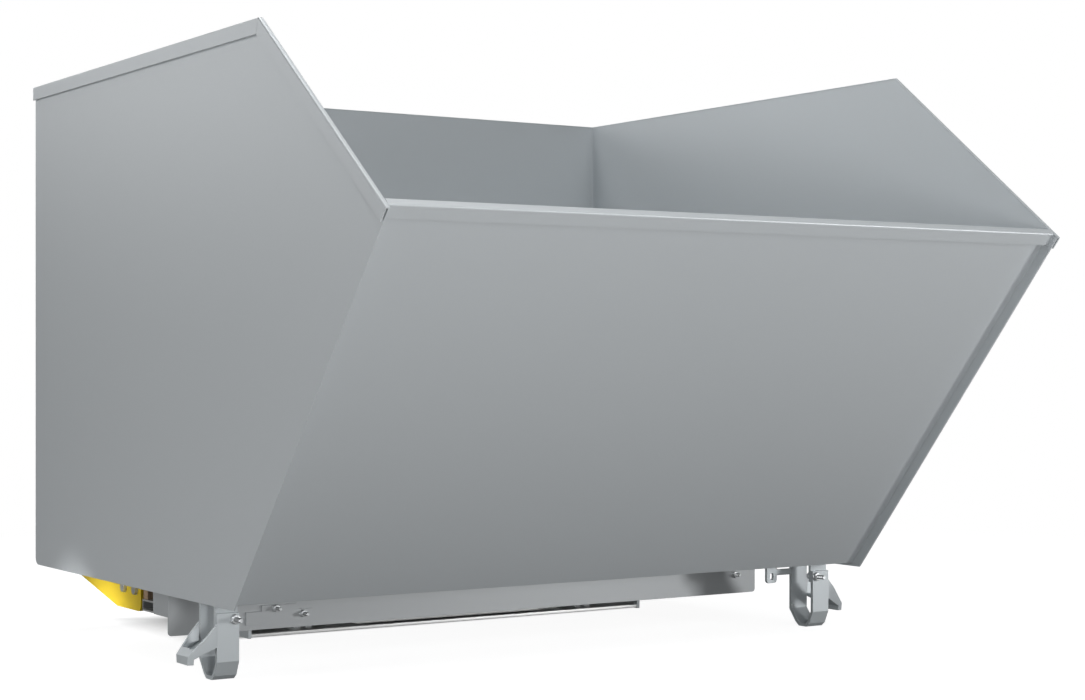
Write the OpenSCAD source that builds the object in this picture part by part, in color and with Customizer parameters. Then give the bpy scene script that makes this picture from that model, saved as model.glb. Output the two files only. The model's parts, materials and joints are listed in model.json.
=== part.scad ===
// Self-dumping hopper: a sheet steel bin that tips forward on a short base with fork pockets.
// X runs across the bin, Y from the lip towards the back wall, Z up from the ground.
// Heights are above the ground. Depths are counted from the lower front corner of the side
// sheets, and place() moves the finished part so that its origin is under its middle.

/* [Bin] */
// Width over the two side sheets
body_w = 1600; // [1500:10:2000]
// Depth of the side sheets along the floor
floor_d = 1114; // [1090:2:1300]
// Height of the side sheets
side_h = 1131; // [1000:1:1400]
// How far the peak of a side stands in front of its lower front corner
peak_reach = 123; // [60:1:200]
// How far the lip stands in front of the lower front corner
lip_reach = 620; // [500:1:700]
// Height of the lip above the lower edge of the side sheets
lip_rise = 743; // [650:1:850]
// Gap between the side sheets and the ground
ground_gap = 150; // [146:1:180]
// Thickness of the bin's sheets
sheet_t = 4; // [3:0.5:6]
// How far the side sheets stand proud of the front sheet
side_proud = 23; // [16:1:35]
// How far the side sheets hang below the floor sheet
side_drop = 8; // [4:1:16]
// How far the side sheets stand behind the back sheet
back_proud = 4; // [2:1:10]
// Radius of the lower back corner of the side sheets
back_corner_r = 18; // [8:1:40]

/* [Rims] */
// How far the rims of the sides and the back stand out from their sheets
rim_out = 6; // [5:0.5:12]
// How far the lip's rim stands out from the front sheet
lip_out = 12; // [8:1:16]
// Height of a rim's flange
rim_h = 31; // [20:1:45]
// Thickness of the rims' metal
rim_t = 3; // [2:0.5:4]

/* [Tipping hinge] */
// Depth of the tipping axis behind the lower front corner
pivot_y = 422; // [402:1:450]
// Height of the tipping axis
pivot_z = 100; // [98:1:104]
// Distance between the two hinges
pivot_spread = 760; // [660:10:840]
// Diameter of the hinge pins
pivot_d = 30; // [20:1:36]
// Running clearance round a hinge pin
pivot_play = 0.08; // [0.02:0.01:0.1]
// Thickness of the cheek under the bin
cheek_t = 16; // [10:1:20]
// Thickness of each base lug beside the cheek
lug_t = 10; // [8:1:14]
// Side gap between a cheek and a lug
cheek_gap = 1; // [0.5:0.5:2]
// Radius of the noses of lugs and cheeks
nose_r = 32; // [26:1:34]

/* [Skirt] */
// Gap between the skirt's front face and the tipping axis
skirt_ahead = 55; // [42:1:60]
// Height of the skirt's lower edge
skirt_z = 59; // [55:1:75]
// Inset of the skirt's ends from the side sheets' outer faces
skirt_inset = 21; // [10:1:40]
// Thickness of the skirt and of its end plates
skirt_t = 4; // [3:0.5:6]
// Radius of the skirt's lower corners
skirt_corner_r = 8; // [4:1:16]
// Length of an end plate, from the skirt's front face
end_plate_d = 83; // [60:1:90]
// Height of the lower edge of an end plate
end_plate_z = 98; // [85:1:120]
// Radius of the lower rear corner of an end plate
end_plate_corner_r = 8; // [4:1:16]

/* [Front feet] */
// Depth of the front leg's face behind the lower front corner
foot_y = 101; // [90:1:150]
// Distance between the outer faces of the two legs of a foot
foot_d = 87; // [80:1:110]
// Width of the flat bar of a foot
foot_bar_w = 48; // [40:1:60]
// Thickness of the flat bar
foot_bar_t = 8; // [6:1:10]
// Inset of a foot from the side sheet's outer face
foot_inset = 11; // [5:1:20]
// Height of the top of the front leg
front_leg_h = 134; // [128:1:138]
// Height at which the bends above the sole start
foot_bend_z = 38; // [26:1:40]
// Run of the front bend along the depth
front_bend_run = 13; // [10:1:24]
// Run of the back bend along the depth
back_bend_run = 23; // [14:1:28]
// How far the ear reaches out from the leg
ear_reach = 56; // [48:1:80]
// Height of the ear's top at the leg
ear_top_z = 113; // [100:1:115]
// Height of the ear's underside at the leg
ear_low_z = 67; // [50:1:70]
// Height of the ear's top at its tip
ear_tip_z = 51; // [46:1:56]
// Height of the underside of the tooth
tooth_z = 34; // [28:1:38]
// Width of the tooth at the tip
tooth_w = 13; // [8:1:16]
// Distance from the leg at which the fold of a rib meets its top edge
ear_fold_out = 17.5; // [10:0.5:28]
// Tilt of that fold from the upright
ear_fold_a = 27; // [10:1:40]
// How far each rib has leant in at its tip
ear_taper = 15; // [8:1:22]
// Thickness of the ear's ribs and plate
ear_t = 6; // [4:1:8]

/* [Small fittings] */
// Thread diameter of the feet's bolts
bolt_d = 10; // [8:1:12]
// How far these bolts stand out in front of the feet
bolt_out = 30; // [20:1:45]
// Distance of these bolts from the inner edge of the foot's bar
foot_bolt_inset = 9.5; // [8:0.5:30]
// Play of a bolt in its hole, on the radius
bolt_play = 0.4; // [0.2:0.1:0.8]
// Height of the bolt in the front leg
foot_bolt_z = 121; // [116:1:122]
// Diameter of the rivet low in the back leg
foot_rivet_d = 5; // [4:0.5:8]
// Distance of the rivet from the inner edge of the foot's bar
foot_rivet_inset = 6.5; // [6:0.5:30]
// Thread diameter of the bolts in the skirt and its bracket
skirt_bolt_d = 8; // [6:1:10]
// How far these bolts stand out in front of their plates
skirt_bolt_out = 24; // [16:1:36]
// Distance of the skirt bracket's middle from the left side sheet's outer face
bracket_x = 274; // [200:1:400]
// Width of the skirt bracket
bracket_w = 156; // [150:1:200]
// Width of the raised middle of the skirt bracket
bracket_mid_w = 82; // [60:1:84]
// Height of the top of the raised middle
bracket_mid_z = 110; // [108:1:118]
// Height of the top of the two shoulders
bracket_z = 98; // [94:1:102]
// Height of the bracket's lower edge
bracket_low_z = 70; // [66:1:74]
// Thickness of the bracket
bracket_t = 5; // [4:1:6]
// Distance of the outer bolt from the bracket's right end
bracket_bolt_inset = 22; // [14:1:28]
// Height of the outer bolt above the bracket's lower edge
bracket_bolt_up = 18; // [12:1:20]
// Distance of the middle bolt below the top of the raised middle
bracket_bolt_drop = 7; // [7:1:12]
// Width of the eye lug
eye_w = 31; // [28:1:40]
// Width of the hole in the eye lug
eye_hole_w = 10; // [8:1:14]
// Distance between the ends of that hole
eye_hole_h = 16; // [14:1:20]
// Height of the lower end of the eye lug
eye_low_z = 102; // [98:1:106]
// Radius of the eye lug's lower corners
eye_corner_r = 8; // [4:1:10]
// Metal left below the hole in the eye lug
eye_margin = 8; // [7:1:12]
// Distance of the eye lug's middle from the right side sheet's outer face
eye_inset = 119; // [95:1:130]
// Height of the lower edge of the bar from the eye lug to the foot
eye_bar_z = 120; // [112:1:124]
// Height of that bar
eye_bar_h = 14; // [10:1:20]
// Distance of the skirt's right bolt from the right side sheet's outer face
skirt_bolt_inset = 87; // [70:1:100]
// Height of that bolt
skirt_bolt_z = 105; // [90:1:120]

/* [Base] */
// Distance of the base's front face behind the tipping axis
base_ahead = 90; // [86:1:120]
// Gap between the base's front beam and the ground
base_z = 22; // [12:1:24]
// Width of the front beam between its end caps
beam_w = 1044; // [1030:2:1160]
// Depth of the front beam
beam_d = 100; // [96:1:120]
// Thickness of the front beam
beam_h = 9; // [6:1:14]
// Chamfer along the beam's front upper edge
beam_nose = 2; // [1:0.5:4]
// Width of the slot through the beam
slot_w = 558; // [300:2:600]
// Depth of that slot
slot_d = 78; // [40:1:80]
// How far the slot's middle lies to the right of the base's middle
slot_shift = 36; // [0:1:55]
// Width of the strip of the beam in front of the slot
slot_lip = 5; // [4:1:12]
// Radius of the slot's front corners
slot_corner_r = 25; // [8:1:36]
// Thickness of the beam's end caps
cap_t = 8; // [3:1:8]
// Height of an end cap
cap_h = 22; // [16:1:40]
// How far an end cap stands proud of the beam
cap_proud = 2; // [1:1:4]
// Outer width of a fork pocket
pocket_w = 190; // [170:2:210]
// Outer height of a fork pocket
pocket_h = 61; // [58:1:64]
// Wall of a fork pocket
pocket_t = 5; // [4:1:8]
// Inset of the pockets' rear ends from the side sheets' back edge
base_back_gap = 20; // [5:1:60]
// Height of the channel across the pockets
channel_h = 26; // [24:1:28]
// Depth of the channel
channel_d = 60; // [55:1:62]
// Thickness of the channel's metal
channel_t = 4; // [3:0.5:5]
// Gap between the front beam's face and the channel's flanges
channel_back = 64; // [60:1:70]
// Height of the rear beam
rear_beam_h = 34; // [28:1:36]
// Depth of the rear beam
rear_beam_d = 50; // [40:1:80]
// Wall of the rear beam
rear_beam_t = 4; // [3:0.5:6]
// Gap from the pockets' rear ends to the rear beam
rear_beam_gap = 12; // [0:1:60]
// Width of a skid bar
skid_w = 50; // [40:1:80]
// Gap from the front beam to a skid's front end
skid_front_gap = 88; // [20:1:240]
// Gap from a skid's rear end to the pockets' rear ends
skid_back_gap = 20; // [5:1:100]
// Length of the bevel at each end of a skid
skid_bevel = 12; // [6:1:16]
// Width of a rest buffer
buffer_w = 50; // [40:1:56]
// Depth of a rest buffer
buffer_d = 26; // [20:1:50]
// Inset of a rest buffer from the side sheet's outer face
buffer_inset = 74; // [74:1:120]
// Gap between the bin and what it rests over
rest_gap = 0.3; // [0.2:0.1:0.5]

/* [Latch] */
// Distance of the latch shaft's axis behind the channel
shaft_back = 52; // [48:1:60]
// Diameter of the latch shaft
shaft_d = 25; // [20:1:26]
// Running clearance round the latch shaft
shaft_play = 0.06; // [0.02:0.01:0.1]
// Radius of the hook's hub
hub_r = 22; // [19:1:24]
// Thickness of the hook
hook_t = 14; // [10:1:18]
// Outer radius of the hook's claw
claw_out_r = 55; // [53:0.5:55.5]
// Inner radius of the hook's claw
claw_in_r = 45.5; // [44.5:0.5:47]
// Angle of the claw's tip above the rear horizontal, with the latch open
claw_tip_a = 102; // [102:1:106]
// Angle of the claw's back, with the latch open
claw_back_a = 152; // [146:1:160]
// Diameter of the striker bar
striker_d = 10; // [8:1:10]
// Height of the striker bar above the latch shaft's axis
striker_up = 39; // [38:0.5:39]
// Thickness of each plate that holds the striker bar
striker_plate_t = 8; // [6:1:10]
// Gap between the hook and a striker plate
hook_gap = 10; // [8:1:20]
// Length of a striker plate along the depth
striker_plate_l = 36; // [24:1:50]
// Metal left below the striker bar
striker_margin = 6; // [4:1:8]
// Distance of the release lever's outer face from the side sheet's outer face
lever_inset = 74; // [70:1:90]
// Thickness of the release lever
lever_t = 10; // [8:1:12]
// Distance from the latch shaft's axis forward to the lever's front edge
lever_ahead = 42; // [38:1:43]
// Gap from the lever's tail to the side sheets' back edge
lever_tail_gap = 12; // [8:1:100]
// Height of the lever's lower edge
lever_low_z = 79; // [76:1:84]
// Length of the lever's level lower edge, from its front edge
lever_flat = 138; // [120:1:180]
// Gap between the lever's upper edge and the floor sheet
lever_top_gap = 8; // [6:1:10]
// Radius of the lever's lower front corner
lever_corner_r = 14; // [8:1:22]
// Diameter of the hole for a pull rope
rope_hole_d = 12; // [8:1:13]
// Distance of the rope hole from the lever's tail
rope_hole_ahead = 136; // [100:1:200]
// Diameter of the lever's bolts
lever_bolt_d = 12; // [8:1:12]
// Distance of the lever's front bolt ahead of the latch shaft's axis
lever_bolt_ahead = 16; // [10:1:18]
// Distance between the lever's bolts
lever_bolt_gap = 66; // [50:1:76]
// Height of the lever's bolts above the latch shaft's axis
lever_bolt_up = 26; // [25:0.5:27]
// Thickness of the flange that carries the lever
flange_t = 8; // [6:1:10]
// Distance of the outer bearing's face from the left side sheet's outer face
outer_bearing_inset = 160; // [154:1:240]
// Thickness of the outer bearing
outer_bearing_t = 15; // [10:1:25]
// Width of the bearings on the fork pockets
bearing_w = 40; // [24:1:60]
// Length of these bearings along the depth
bearing_l = 50; // [44:1:60]
// Width of a shaft collar
collar_w = 14; // [8:1:20]
// Wall of a shaft collar
collar_wall = 4; // [3:0.5:4]

/* [Floor stiffeners] */
// Width of a stiffener against the floor
stiff_w = 50; // [40:1:60]
// Depth of a stiffener below the floor
stiff_h = 28; // [20:1:29]
// Thickness of a stiffener
stiff_t = 4; // [3:0.5:5]
// Distance of the inner stiffeners from the middle
stiff_in_x = 200; // [160:1:240]
// Distance of the outer stiffeners from the side sheets' outer faces
stiff_inset = 240; // [200:5:260]
// Gap between the stiffeners' ends and what they run up to
stiff_gap = 12; // [4:1:30]

/* [Hidden] */
$fn = 64;

half_w = body_w / 2;
in_half_w = half_w - sheet_t;
floor_z = ground_gap + side_drop;
top_z = ground_gap + side_h;
back_rim_y = floor_d - back_proud + rim_out;
mid_y = (max(floor_d, back_rim_y) - lip_reach) / 2;

// The side's outline runs anticlockwise: bottom, back, top, mouth and front edge
front_corner = [0, ground_gap];
back_corner = [floor_d, ground_gap];
back_top = [floor_d, top_z];
peak = [-peak_reach, top_z];
lip = [-lip_reach, ground_gap + lip_rise];
side_outline = [front_corner, back_corner, back_top, peak, lip];
front_l = norm(lip - front_corner);
front_up = (lip - front_corner) / front_l;
front_in = [front_up.y, -front_up.x];

skirt_y = pivot_y - skirt_ahead;
skirt_half_w = half_w - skirt_inset;
pivot_x = pivot_spread / 2;
lug_x = cheek_t / 2 + cheek_gap;
pin_head_d = pivot_d + 16;
pin_head_h = 8;
pin_washer_t = 4;
pin_nut_h = 16;
pin_end = 6;

foot_x1 = half_w - foot_inset;
foot_x0 = foot_x1 - foot_bar_w;
foot_back_y = foot_y + foot_d;
foot_inner_y = foot_back_y - foot_bar_t;
foot_sole_lift = 9;
foot_sole_run = 6;
foot_bolt_x = foot_x0 + foot_bolt_inset;
foot_rivet_x = foot_x0 + foot_rivet_inset;
foot_rivet_z = foot_bend_z + 7;
rivet_head_ratio = 1.6;
foot_rivet_h = 4;
foot_lug_margin = 3;
nut_h = 8;
nut_ratio = 1.7;
ear_fold_x = foot_x1 + ear_fold_out;
ear_fold_z = ear_top_z - (ear_top_z - ear_tip_z) * ear_fold_out / ear_reach;
// Distance of the tip's upper edge from the fold, square to the fold
ear_fold_run = (ear_reach - ear_fold_out) * cos(ear_fold_a)
    + (ear_fold_z - ear_tip_z) * sin(ear_fold_a);
ear_lean_a = atan(ear_taper / ear_fold_run);
bracket_mid_x = bracket_x - half_w;
bracket_bolt_shift = -9;
bracket_bolts = [
    [bracket_mid_x + bracket_bolt_shift, bracket_mid_z - bracket_bolt_drop],
    [bracket_mid_x + bracket_w / 2 - bracket_bolt_inset, bracket_low_z + bracket_bolt_up]
];
skirt_bolt = [half_w - skirt_bolt_inset, skirt_bolt_z];
eye_mid_x = half_w - eye_inset;

base_y = pivot_y + base_ahead;
beam_top_z = base_z + beam_h;
beam_back_y = base_y + beam_d;
beam_half_w = beam_w / 2;
pocket_top_z = base_z + pocket_h;
pocket_back_y = floor_d - base_back_gap;
channel_y = base_y + channel_back;
channel_back_y = channel_y + channel_d;
channel_top_z = pocket_top_z + channel_h;
rear_beam_y1 = pocket_back_y - rear_beam_gap;
rear_beam_y0 = rear_beam_y1 - rear_beam_d;
buffer_back_gap = 2;
pocket_x0 = pivot_x - pocket_w / 2;
lug_top_z = pivot_z + nose_r;
lug_low_z = pivot_z - nose_r;
lug_foot_l = 34;
lug_throat_l = 20;

shaft_y = channel_back_y + shaft_back;
shaft_z = pivot_z;
striker_z = shaft_z + striker_up;
striker_x = hook_t / 2 + hook_gap;
lever_bolt_y = [shaft_y - lever_bolt_ahead, shaft_y - lever_bolt_ahead + lever_bolt_gap];
lever_bolt_z = shaft_z + lever_bolt_up;
rope_hole_drop = 13;
collar_side_gap = 0.5;
lever_x1 = half_w - lever_inset;
lever_x0 = lever_x1 - lever_t;
flange_x0 = lever_x0 - flange_t;
lever_top_z = floor_z - lever_top_gap;
lever_front_y = shaft_y - lever_ahead;
lever_tail_y = floor_d - lever_tail_gap;
lever_crop = 27;
bearing_wall = 12;
bearing_top_z = shaft_z + shaft_d / 2 + bearing_wall;
outer_bearing_x = half_w - outer_bearing_inset;
collar_r = shaft_d / 2 + collar_wall;
shaft_end = 6;
shaft_right_x = pivot_x + bearing_w / 2 + collar_w + shaft_end;
striker_end = 3;
flange_margin = 6;
lever_tail_h = 1;
lever_crop_z = 11;
lever_bolt_end = 3;
claw_spoke_a = 24;

steel = [0.68, 0.70, 0.71];
steel_dark = [0.56, 0.58, 0.59];
zinc = [0.78, 0.80, 0.80];
lever_yellow = [0.93, 0.74, 0.10];
buffer_brown = [0.55, 0.42, 0.30];

function reverse(path) = [for (i = [len(path) - 1:-1:0]) path[i]];
// Point where the line through p along u meets the line through q along v
function crossing(p, u, q, v) =
    p + u * ((q - p).x * v.y - (q - p).y * v.x) / (u.x * v.y - u.y * v.x);
function unit(v) = v / norm(v);
function left_of(v) = [-v.y, v.x];
// Line of edge i of a closed outline, moved inwards by d[i]
function edge_line(pts, d, i) =
    let (a = pts[i], u = unit(pts[(i + 1) % len(pts)] - a)) [a + left_of(u) * d[i], u];
// Closed anticlockwise outline with each edge moved inwards by its own distance
function inset(pts, d) = [
    for (i = [0:len(pts) - 1])
        let (
            m = edge_line(pts, d, (i + len(pts) - 1) % len(pts)),
            n = edge_line(pts, d, i)
        )
        crossing(m[0], m[1], n[0], n[1])
];
// Corner i of an open path moved to the left by t, mitred between its two legs
function mitre(path, i, t) =
    let (
        a = i > 0 ? left_of(unit(path[i] - path[i - 1])) : [0, 0],
        b = i < len(path) - 1 ? left_of(unit(path[i + 1] - path[i])) : [0, 0],
        m = i == 0 ? b : i == len(path) - 1 ? a : (a + b) / (1 + a * b)
    )
    path[i] + m * t;
// Outline of folded sheet of thickness t that lies to the left of an open path
function folded(path, t) =
    concat(path, [for (i = [len(path) - 1:-1:0]) mitre(path, i, t)]);
// Point s along the front edge and n in from it
function on_front(s, n) = front_corner + front_up * s + front_in * n;
// Depth of the front sheet's face that lies n in from the side's edge, at height z
function front_y_at(n, z) = crossing(on_front(0, n), front_up, [0, z], [1, 0]).x;

module place() {
    translate([0, -mid_y, 0])
        children();
}
// side is 1 for the right and -1 for the left
module on_side(side) {
    if (side > 0)
        children();
    else
        mirror([1, 0, 0])
            children();
}
// Outline in Y and Z, drawn out along X
module along_x(x0, x1) {
    translate([x0, 0, 0])
        rotate([90, 0, 90])
            linear_extrude(x1 - x0)
                children();
}
// Outline in X and Z, drawn out along Y
module along_y(y0, y1) {
    translate([0, y1, 0])
        rotate([90, 0, 0])
            linear_extrude(y1 - y0)
                children();
}
// Outline in X and Y, drawn out along Z
module along_z(z0, z1) {
    translate([0, 0, z0])
        linear_extrude(z1 - z0)
            children();
}
module block(x0, x1, y0, y1, z0, z1) {
    translate([x0, y0, z0])
        cube([x1 - x0, y1 - y0, z1 - z0]);
}
module rod_x(x0, x1, y, z, d) {
    translate([x0, y, z])
        rotate([0, 90, 0])
            cylinder(h = x1 - x0, d = d);
}
module rod_y(y0, y1, x, z, d) {
    translate([x, y1, z])
        rotate([90, 0, 0])
            cylinder(h = y1 - y0, d = d);
}
module hex_y(y0, y1, x, z, d) {
    translate([x, y1, z])
        rotate([90, 0, 0])
            cylinder(h = y1 - y0, d = d * nut_ratio / cos(30), $fn = 6);
}
module hex_x(x0, x1, y, z, d) {
    translate([x0, y, z])
        rotate([0, 90, 0])
            cylinder(h = x1 - x0, d = d * nut_ratio / cos(30), $fn = 6);
}
// What is left to cut from a square corner of radius r at p, towards the quadrant dir
module corner_cut(p, dir, r) {
    translate(p)
        difference() {
            translate([dir.x > 0 ? -1 : -r, dir.y > 0 ? -1 : -r])
                square(r + 1);
            translate([dir.x * r, dir.y * r])
                circle(r);
        }
}

// Sheets of the bin
module floor_sheet() {
    z1 = floor_z + sheet_t;
    n = side_proud + sheet_t;
    y1 = floor_d - back_proud - sheet_t;
    color(steel) place()
        along_x(-in_half_w, in_half_w)
            polygon([[front_y_at(n, floor_z), floor_z], [y1, floor_z], [y1, z1],
                     [front_y_at(n, z1), z1]]);
}
module front_sheet() {
    n0 = side_proud;
    n1 = side_proud + sheet_t;
    color(steel) place()
        along_x(-in_half_w, in_half_w)
            polygon([[front_y_at(n0, floor_z), floor_z], [front_y_at(n1, floor_z), floor_z],
                     on_front(front_l - rim_t, n1), on_front(front_l - rim_t, n0)]);
}
module back_sheet() {
    y1 = floor_d - back_proud;
    color(steel) place()
        block(-in_half_w, in_half_w, y1 - sheet_t, y1, floor_z, top_z - rim_t);
}
module side_sheet(side) {
    color(steel) place() on_side(side)
        along_x(in_half_w, half_w)
            difference() {
                polygon(inset(side_outline, [0, 0, rim_t, rim_t, 0]));
                corner_cut(back_corner, [-1, 1], back_corner_r);
            }
}
module left_side_sheet() { side_sheet(-1); }
module right_side_sheet() { side_sheet(1); }

// Rims of the bin: a web over the sheet's edge and a flange outside it, with mitred ends.
// The outer edge runs from a to b with the bin on its left, and band is the flange's outline.
module rim(side, a, b, band) {
    u = unit(b - a);
    past = u * rim_h;
    under = left_of(u) * rim_t;
    deep = left_of(u) * 2 * rim_h;
    color(steel) place() on_side(side)
        difference() {
            along_x(in_half_w, half_w + rim_out)
                polygon(band);
            along_x(in_half_w - 1, half_w + rim_out - rim_t)
                polygon([a - past + under, b + past + under, b + past + deep, a - past + deep]);
        }
}
rim_corners = inset(side_outline, [0, 0, rim_h, rim_h, 0]);
module top_rim(side) {
    low = top_z - rim_h;
    rim(side, back_top, peak, [[floor_d, low], back_top, peak, rim_corners[3]]);
}
module left_top_rim() { top_rim(-1); }
module right_top_rim() { top_rim(1); }

module mouth_rim(side) {
    rim(side, peak, lip, [peak, lip, rim_corners[4], rim_corners[3]]);
}
module left_mouth_rim() { mouth_rim(-1); }
module right_mouth_rim() { mouth_rim(1); }

module back_rim() {
    y0 = floor_d - back_proud - sheet_t;
    y1 = back_rim_y;
    color(steel) place()
        along_x(-in_half_w, in_half_w)
            polygon(folded([[y1, top_z - rim_h], [y1, top_z], [y0, top_z]], rim_t));
}
module lip_rim() {
    n0 = side_proud - lip_out;
    n1 = side_proud + sheet_t;
    path = [on_front(front_l, n1), on_front(front_l, n0), on_front(front_l - rim_h, n0)];
    color(steel) place()
        along_x(-in_half_w, in_half_w)
            polygon(folded(path, rim_t));
}

// Skirt, its end plates and the hinge cheeks under the floor
module skirt_plate() {
    x = skirt_half_w;
    color(steel_dark) place()
        along_y(skirt_y, skirt_y + skirt_t)
            difference() {
                translate([-x, skirt_z])
                    square([2 * x, floor_z - skirt_z]);
                corner_cut([-x, skirt_z], [1, 1], skirt_corner_r);
                corner_cut([x, skirt_z], [-1, 1], skirt_corner_r);
                for (b = concat(bracket_bolts, [skirt_bolt]))
                    translate([b.x, b.y])
                        circle(d = skirt_bolt_d + 2 * bolt_play);
            }
}
module end_plate(side) {
    y0 = skirt_y + skirt_t;
    y1 = skirt_y + end_plate_d;
    color(steel_dark) place() on_side(side)
        along_x(skirt_half_w - skirt_t, skirt_half_w)
            difference() {
                translate([y0, end_plate_z])
                    square([y1 - y0, floor_z - end_plate_z]);
                corner_cut([y1, end_plate_z], [-1, 1], end_plate_corner_r);
            }
}
module left_end_plate() { end_plate(-1); }
module right_end_plate() { end_plate(1); }

module hinge_cheek(side) {
    y0 = skirt_y + skirt_t;
    color(steel_dark) place() on_side(side)
        along_x(pivot_x - cheek_t / 2, pivot_x + cheek_t / 2)
            difference() {
                union() {
                    translate([pivot_y, pivot_z])
                        circle(nose_r);
                    translate([y0, pivot_z])
                        square([pivot_y + nose_r - y0, floor_z - pivot_z]);
                }
                translate([pivot_y, pivot_z])
                    circle(d = pivot_d + 2 * pivot_play);
            }
}
module left_hinge_cheek() { hinge_cheek(-1); }
module right_hinge_cheek() { hinge_cheek(1); }

// Hat-shaped stiffeners along the underside of the floor
module stiffener(side, x) {
    y0 = pivot_y + nose_r + stiff_gap;
    y1 = floor_d - back_proud - sheet_t - stiff_gap;
    half = stiff_w / 2;
    crown = half - stiff_h / 2;
    low = floor_z - stiff_h + stiff_t;
    path = [[half, floor_z], [crown, floor_z], [crown, low], [-crown, low], [-crown, floor_z],
            [-half, floor_z]];
    color(steel_dark) place() on_side(side)
        translate([x, 0, 0])
            along_y(y0, y1)
                polygon(folded(path, stiff_t));
}
module left_outer_stiffener() { stiffener(-1, half_w - stiff_inset); }
module left_inner_stiffener() { stiffener(-1, stiff_in_x); }
module right_inner_stiffener() { stiffener(1, stiff_in_x); }
module right_outer_stiffener() { stiffener(1, half_w - stiff_inset); }

// Front feet: bent flat bar, ear with two ribs, lug and bolts
module foot_loop(side) {
    y0 = foot_y;
    y1 = foot_back_y;
    path = [
        [y1, floor_z], [y1, foot_bend_z],
        [y1 - back_bend_run + foot_sole_run, foot_sole_lift], [y1 - back_bend_run - foot_sole_run, 0],
        [y0 + front_bend_run + foot_sole_run, 0], [y0 + front_bend_run - foot_sole_run, foot_sole_lift],
        [y0, foot_bend_z], [y0, front_leg_h]
    ];
    color(steel) place() on_side(side)
        difference() {
            along_x(foot_x0, foot_x1)
                polygon(folded(reverse(path), foot_bar_t));
            rod_y(y0 - 1, y0 + foot_bar_t + 1, foot_bolt_x, foot_bolt_z, bolt_d + 2 * bolt_play);
            rod_y(foot_inner_y - 1, y1 + 1, foot_rivet_x, foot_rivet_z,
                  foot_rivet_d + 2 * bolt_play);
        }
}
module left_foot_loop() { foot_loop(-1); }
module right_foot_loop() { foot_loop(1); }

// Space outside a rib beyond its fold, dir being 1 at the front rib and -1 at the back one
module lean_cut(y, dir) {
    c = 4 * ear_reach;
    translate([ear_fold_x, y, ear_fold_z])
        rotate([0, ear_fold_a, 0])
            rotate([0, 0, dir * ear_lean_a])
                translate([0, dir > 0 ? -c : 0, -c])
                    cube([c, c, 2 * c]);
}
// Outline in X and Z drawn out between the ribs' outer faces, or d inside them
module between_ribs(d) {
    difference() {
        along_y(foot_y + d, foot_back_y - d)
            children();
        lean_cut(foot_y + d, 1);
        lean_cut(foot_back_y - d, -1);
    }
}
// Ear beside the foot: a sloping trough between two folded ribs, and a tooth at its tip
module foot_ear(side) {
    x1 = foot_x1;
    t = ear_t;
    tip_x = x1 + ear_reach;
    tooth_x = tip_x - tooth_w;
    rib_low = ear_tip_z - t;
    drop = (ear_low_z - rib_low) / (ear_reach - tooth_w);
    color(steel) place() on_side(side)
        difference() {
            between_ribs(0)
                polygon([[x1, ear_low_z], [tooth_x, rib_low], [tooth_x, tooth_z],
                         [tip_x, tooth_z], [tip_x, ear_tip_z], [x1, ear_top_z]]);
            between_ribs(t)
                polygon([[x1 - 1, ear_low_z + t + drop], [tooth_x, rib_low + t],
                         [tooth_x, ear_top_z + 1], [x1 - 1, ear_top_z + 1]]);
        }
}
module left_foot_ear() { foot_ear(-1); }
module right_foot_ear() { foot_ear(1); }

module foot_lug(side) {
    y0 = foot_y + foot_bar_t;
    low = foot_bolt_z - bolt_d - foot_lug_margin;
    color(steel_dark) place() on_side(side)
        difference() {
            block(foot_x0, foot_x1, y0, y0 + foot_bar_t, low, floor_z);
            rod_y(y0 - 1, y0 + foot_bar_t + 1, foot_bolt_x, foot_bolt_z, bolt_d + 2 * bolt_play);
        }
}
module left_foot_lug() { foot_lug(-1); }
module right_foot_lug() { foot_lug(1); }

// Bolt along Y whose tail stands out forward of a nut on the face y
module tail_bolt(x, y, z, grip, d, out) {
    hex_y(y - nut_h, y, x, z, d);
    rod_y(y - out, y + grip, x, z, d);
    hex_y(y + grip, y + grip + nut_h, x, z, d);
}
module foot_bolts() {
    color(zinc) place()
        for (side = [-1, 1])
            on_side(side) {
                tail_bolt(foot_bolt_x, foot_y, foot_bolt_z, 2 * foot_bar_t, bolt_d, bolt_out);
                rod_y(foot_inner_y - foot_rivet_h, foot_inner_y, foot_rivet_x, foot_rivet_z,
                      rivet_head_ratio * foot_rivet_d);
                rod_y(foot_inner_y, foot_back_y + foot_rivet_h, foot_rivet_x, foot_rivet_z,
                      foot_rivet_d);
            }
}

// Stepped bracket on the skirt's left end, and the bolts in the skirt
module skirt_bracket() {
    x0 = bracket_mid_x - bracket_w / 2;
    m0 = bracket_mid_x - bracket_mid_w / 2;
    color(steel_dark) place()
        along_y(skirt_y - bracket_t, skirt_y)
            difference() {
                union() {
                    translate([x0, bracket_low_z])
                        square([bracket_w, bracket_z - bracket_low_z]);
                    translate([m0, bracket_low_z])
                        square([bracket_mid_w, bracket_mid_z - bracket_low_z]);
                }
                for (b = bracket_bolts)
                    translate([b.x, b.y])
                        circle(d = skirt_bolt_d + 2 * bolt_play);
            }
}
module skirt_bolts() {
    color(zinc) place() {
        for (b = bracket_bolts)
            tail_bolt(b.x, skirt_y - bracket_t, b.y, bracket_t + skirt_t, skirt_bolt_d,
                      skirt_bolt_out);
        tail_bolt(skirt_bolt.x, skirt_y, skirt_bolt.y, skirt_t, skirt_bolt_d, skirt_bolt_out);
    }
}

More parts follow.
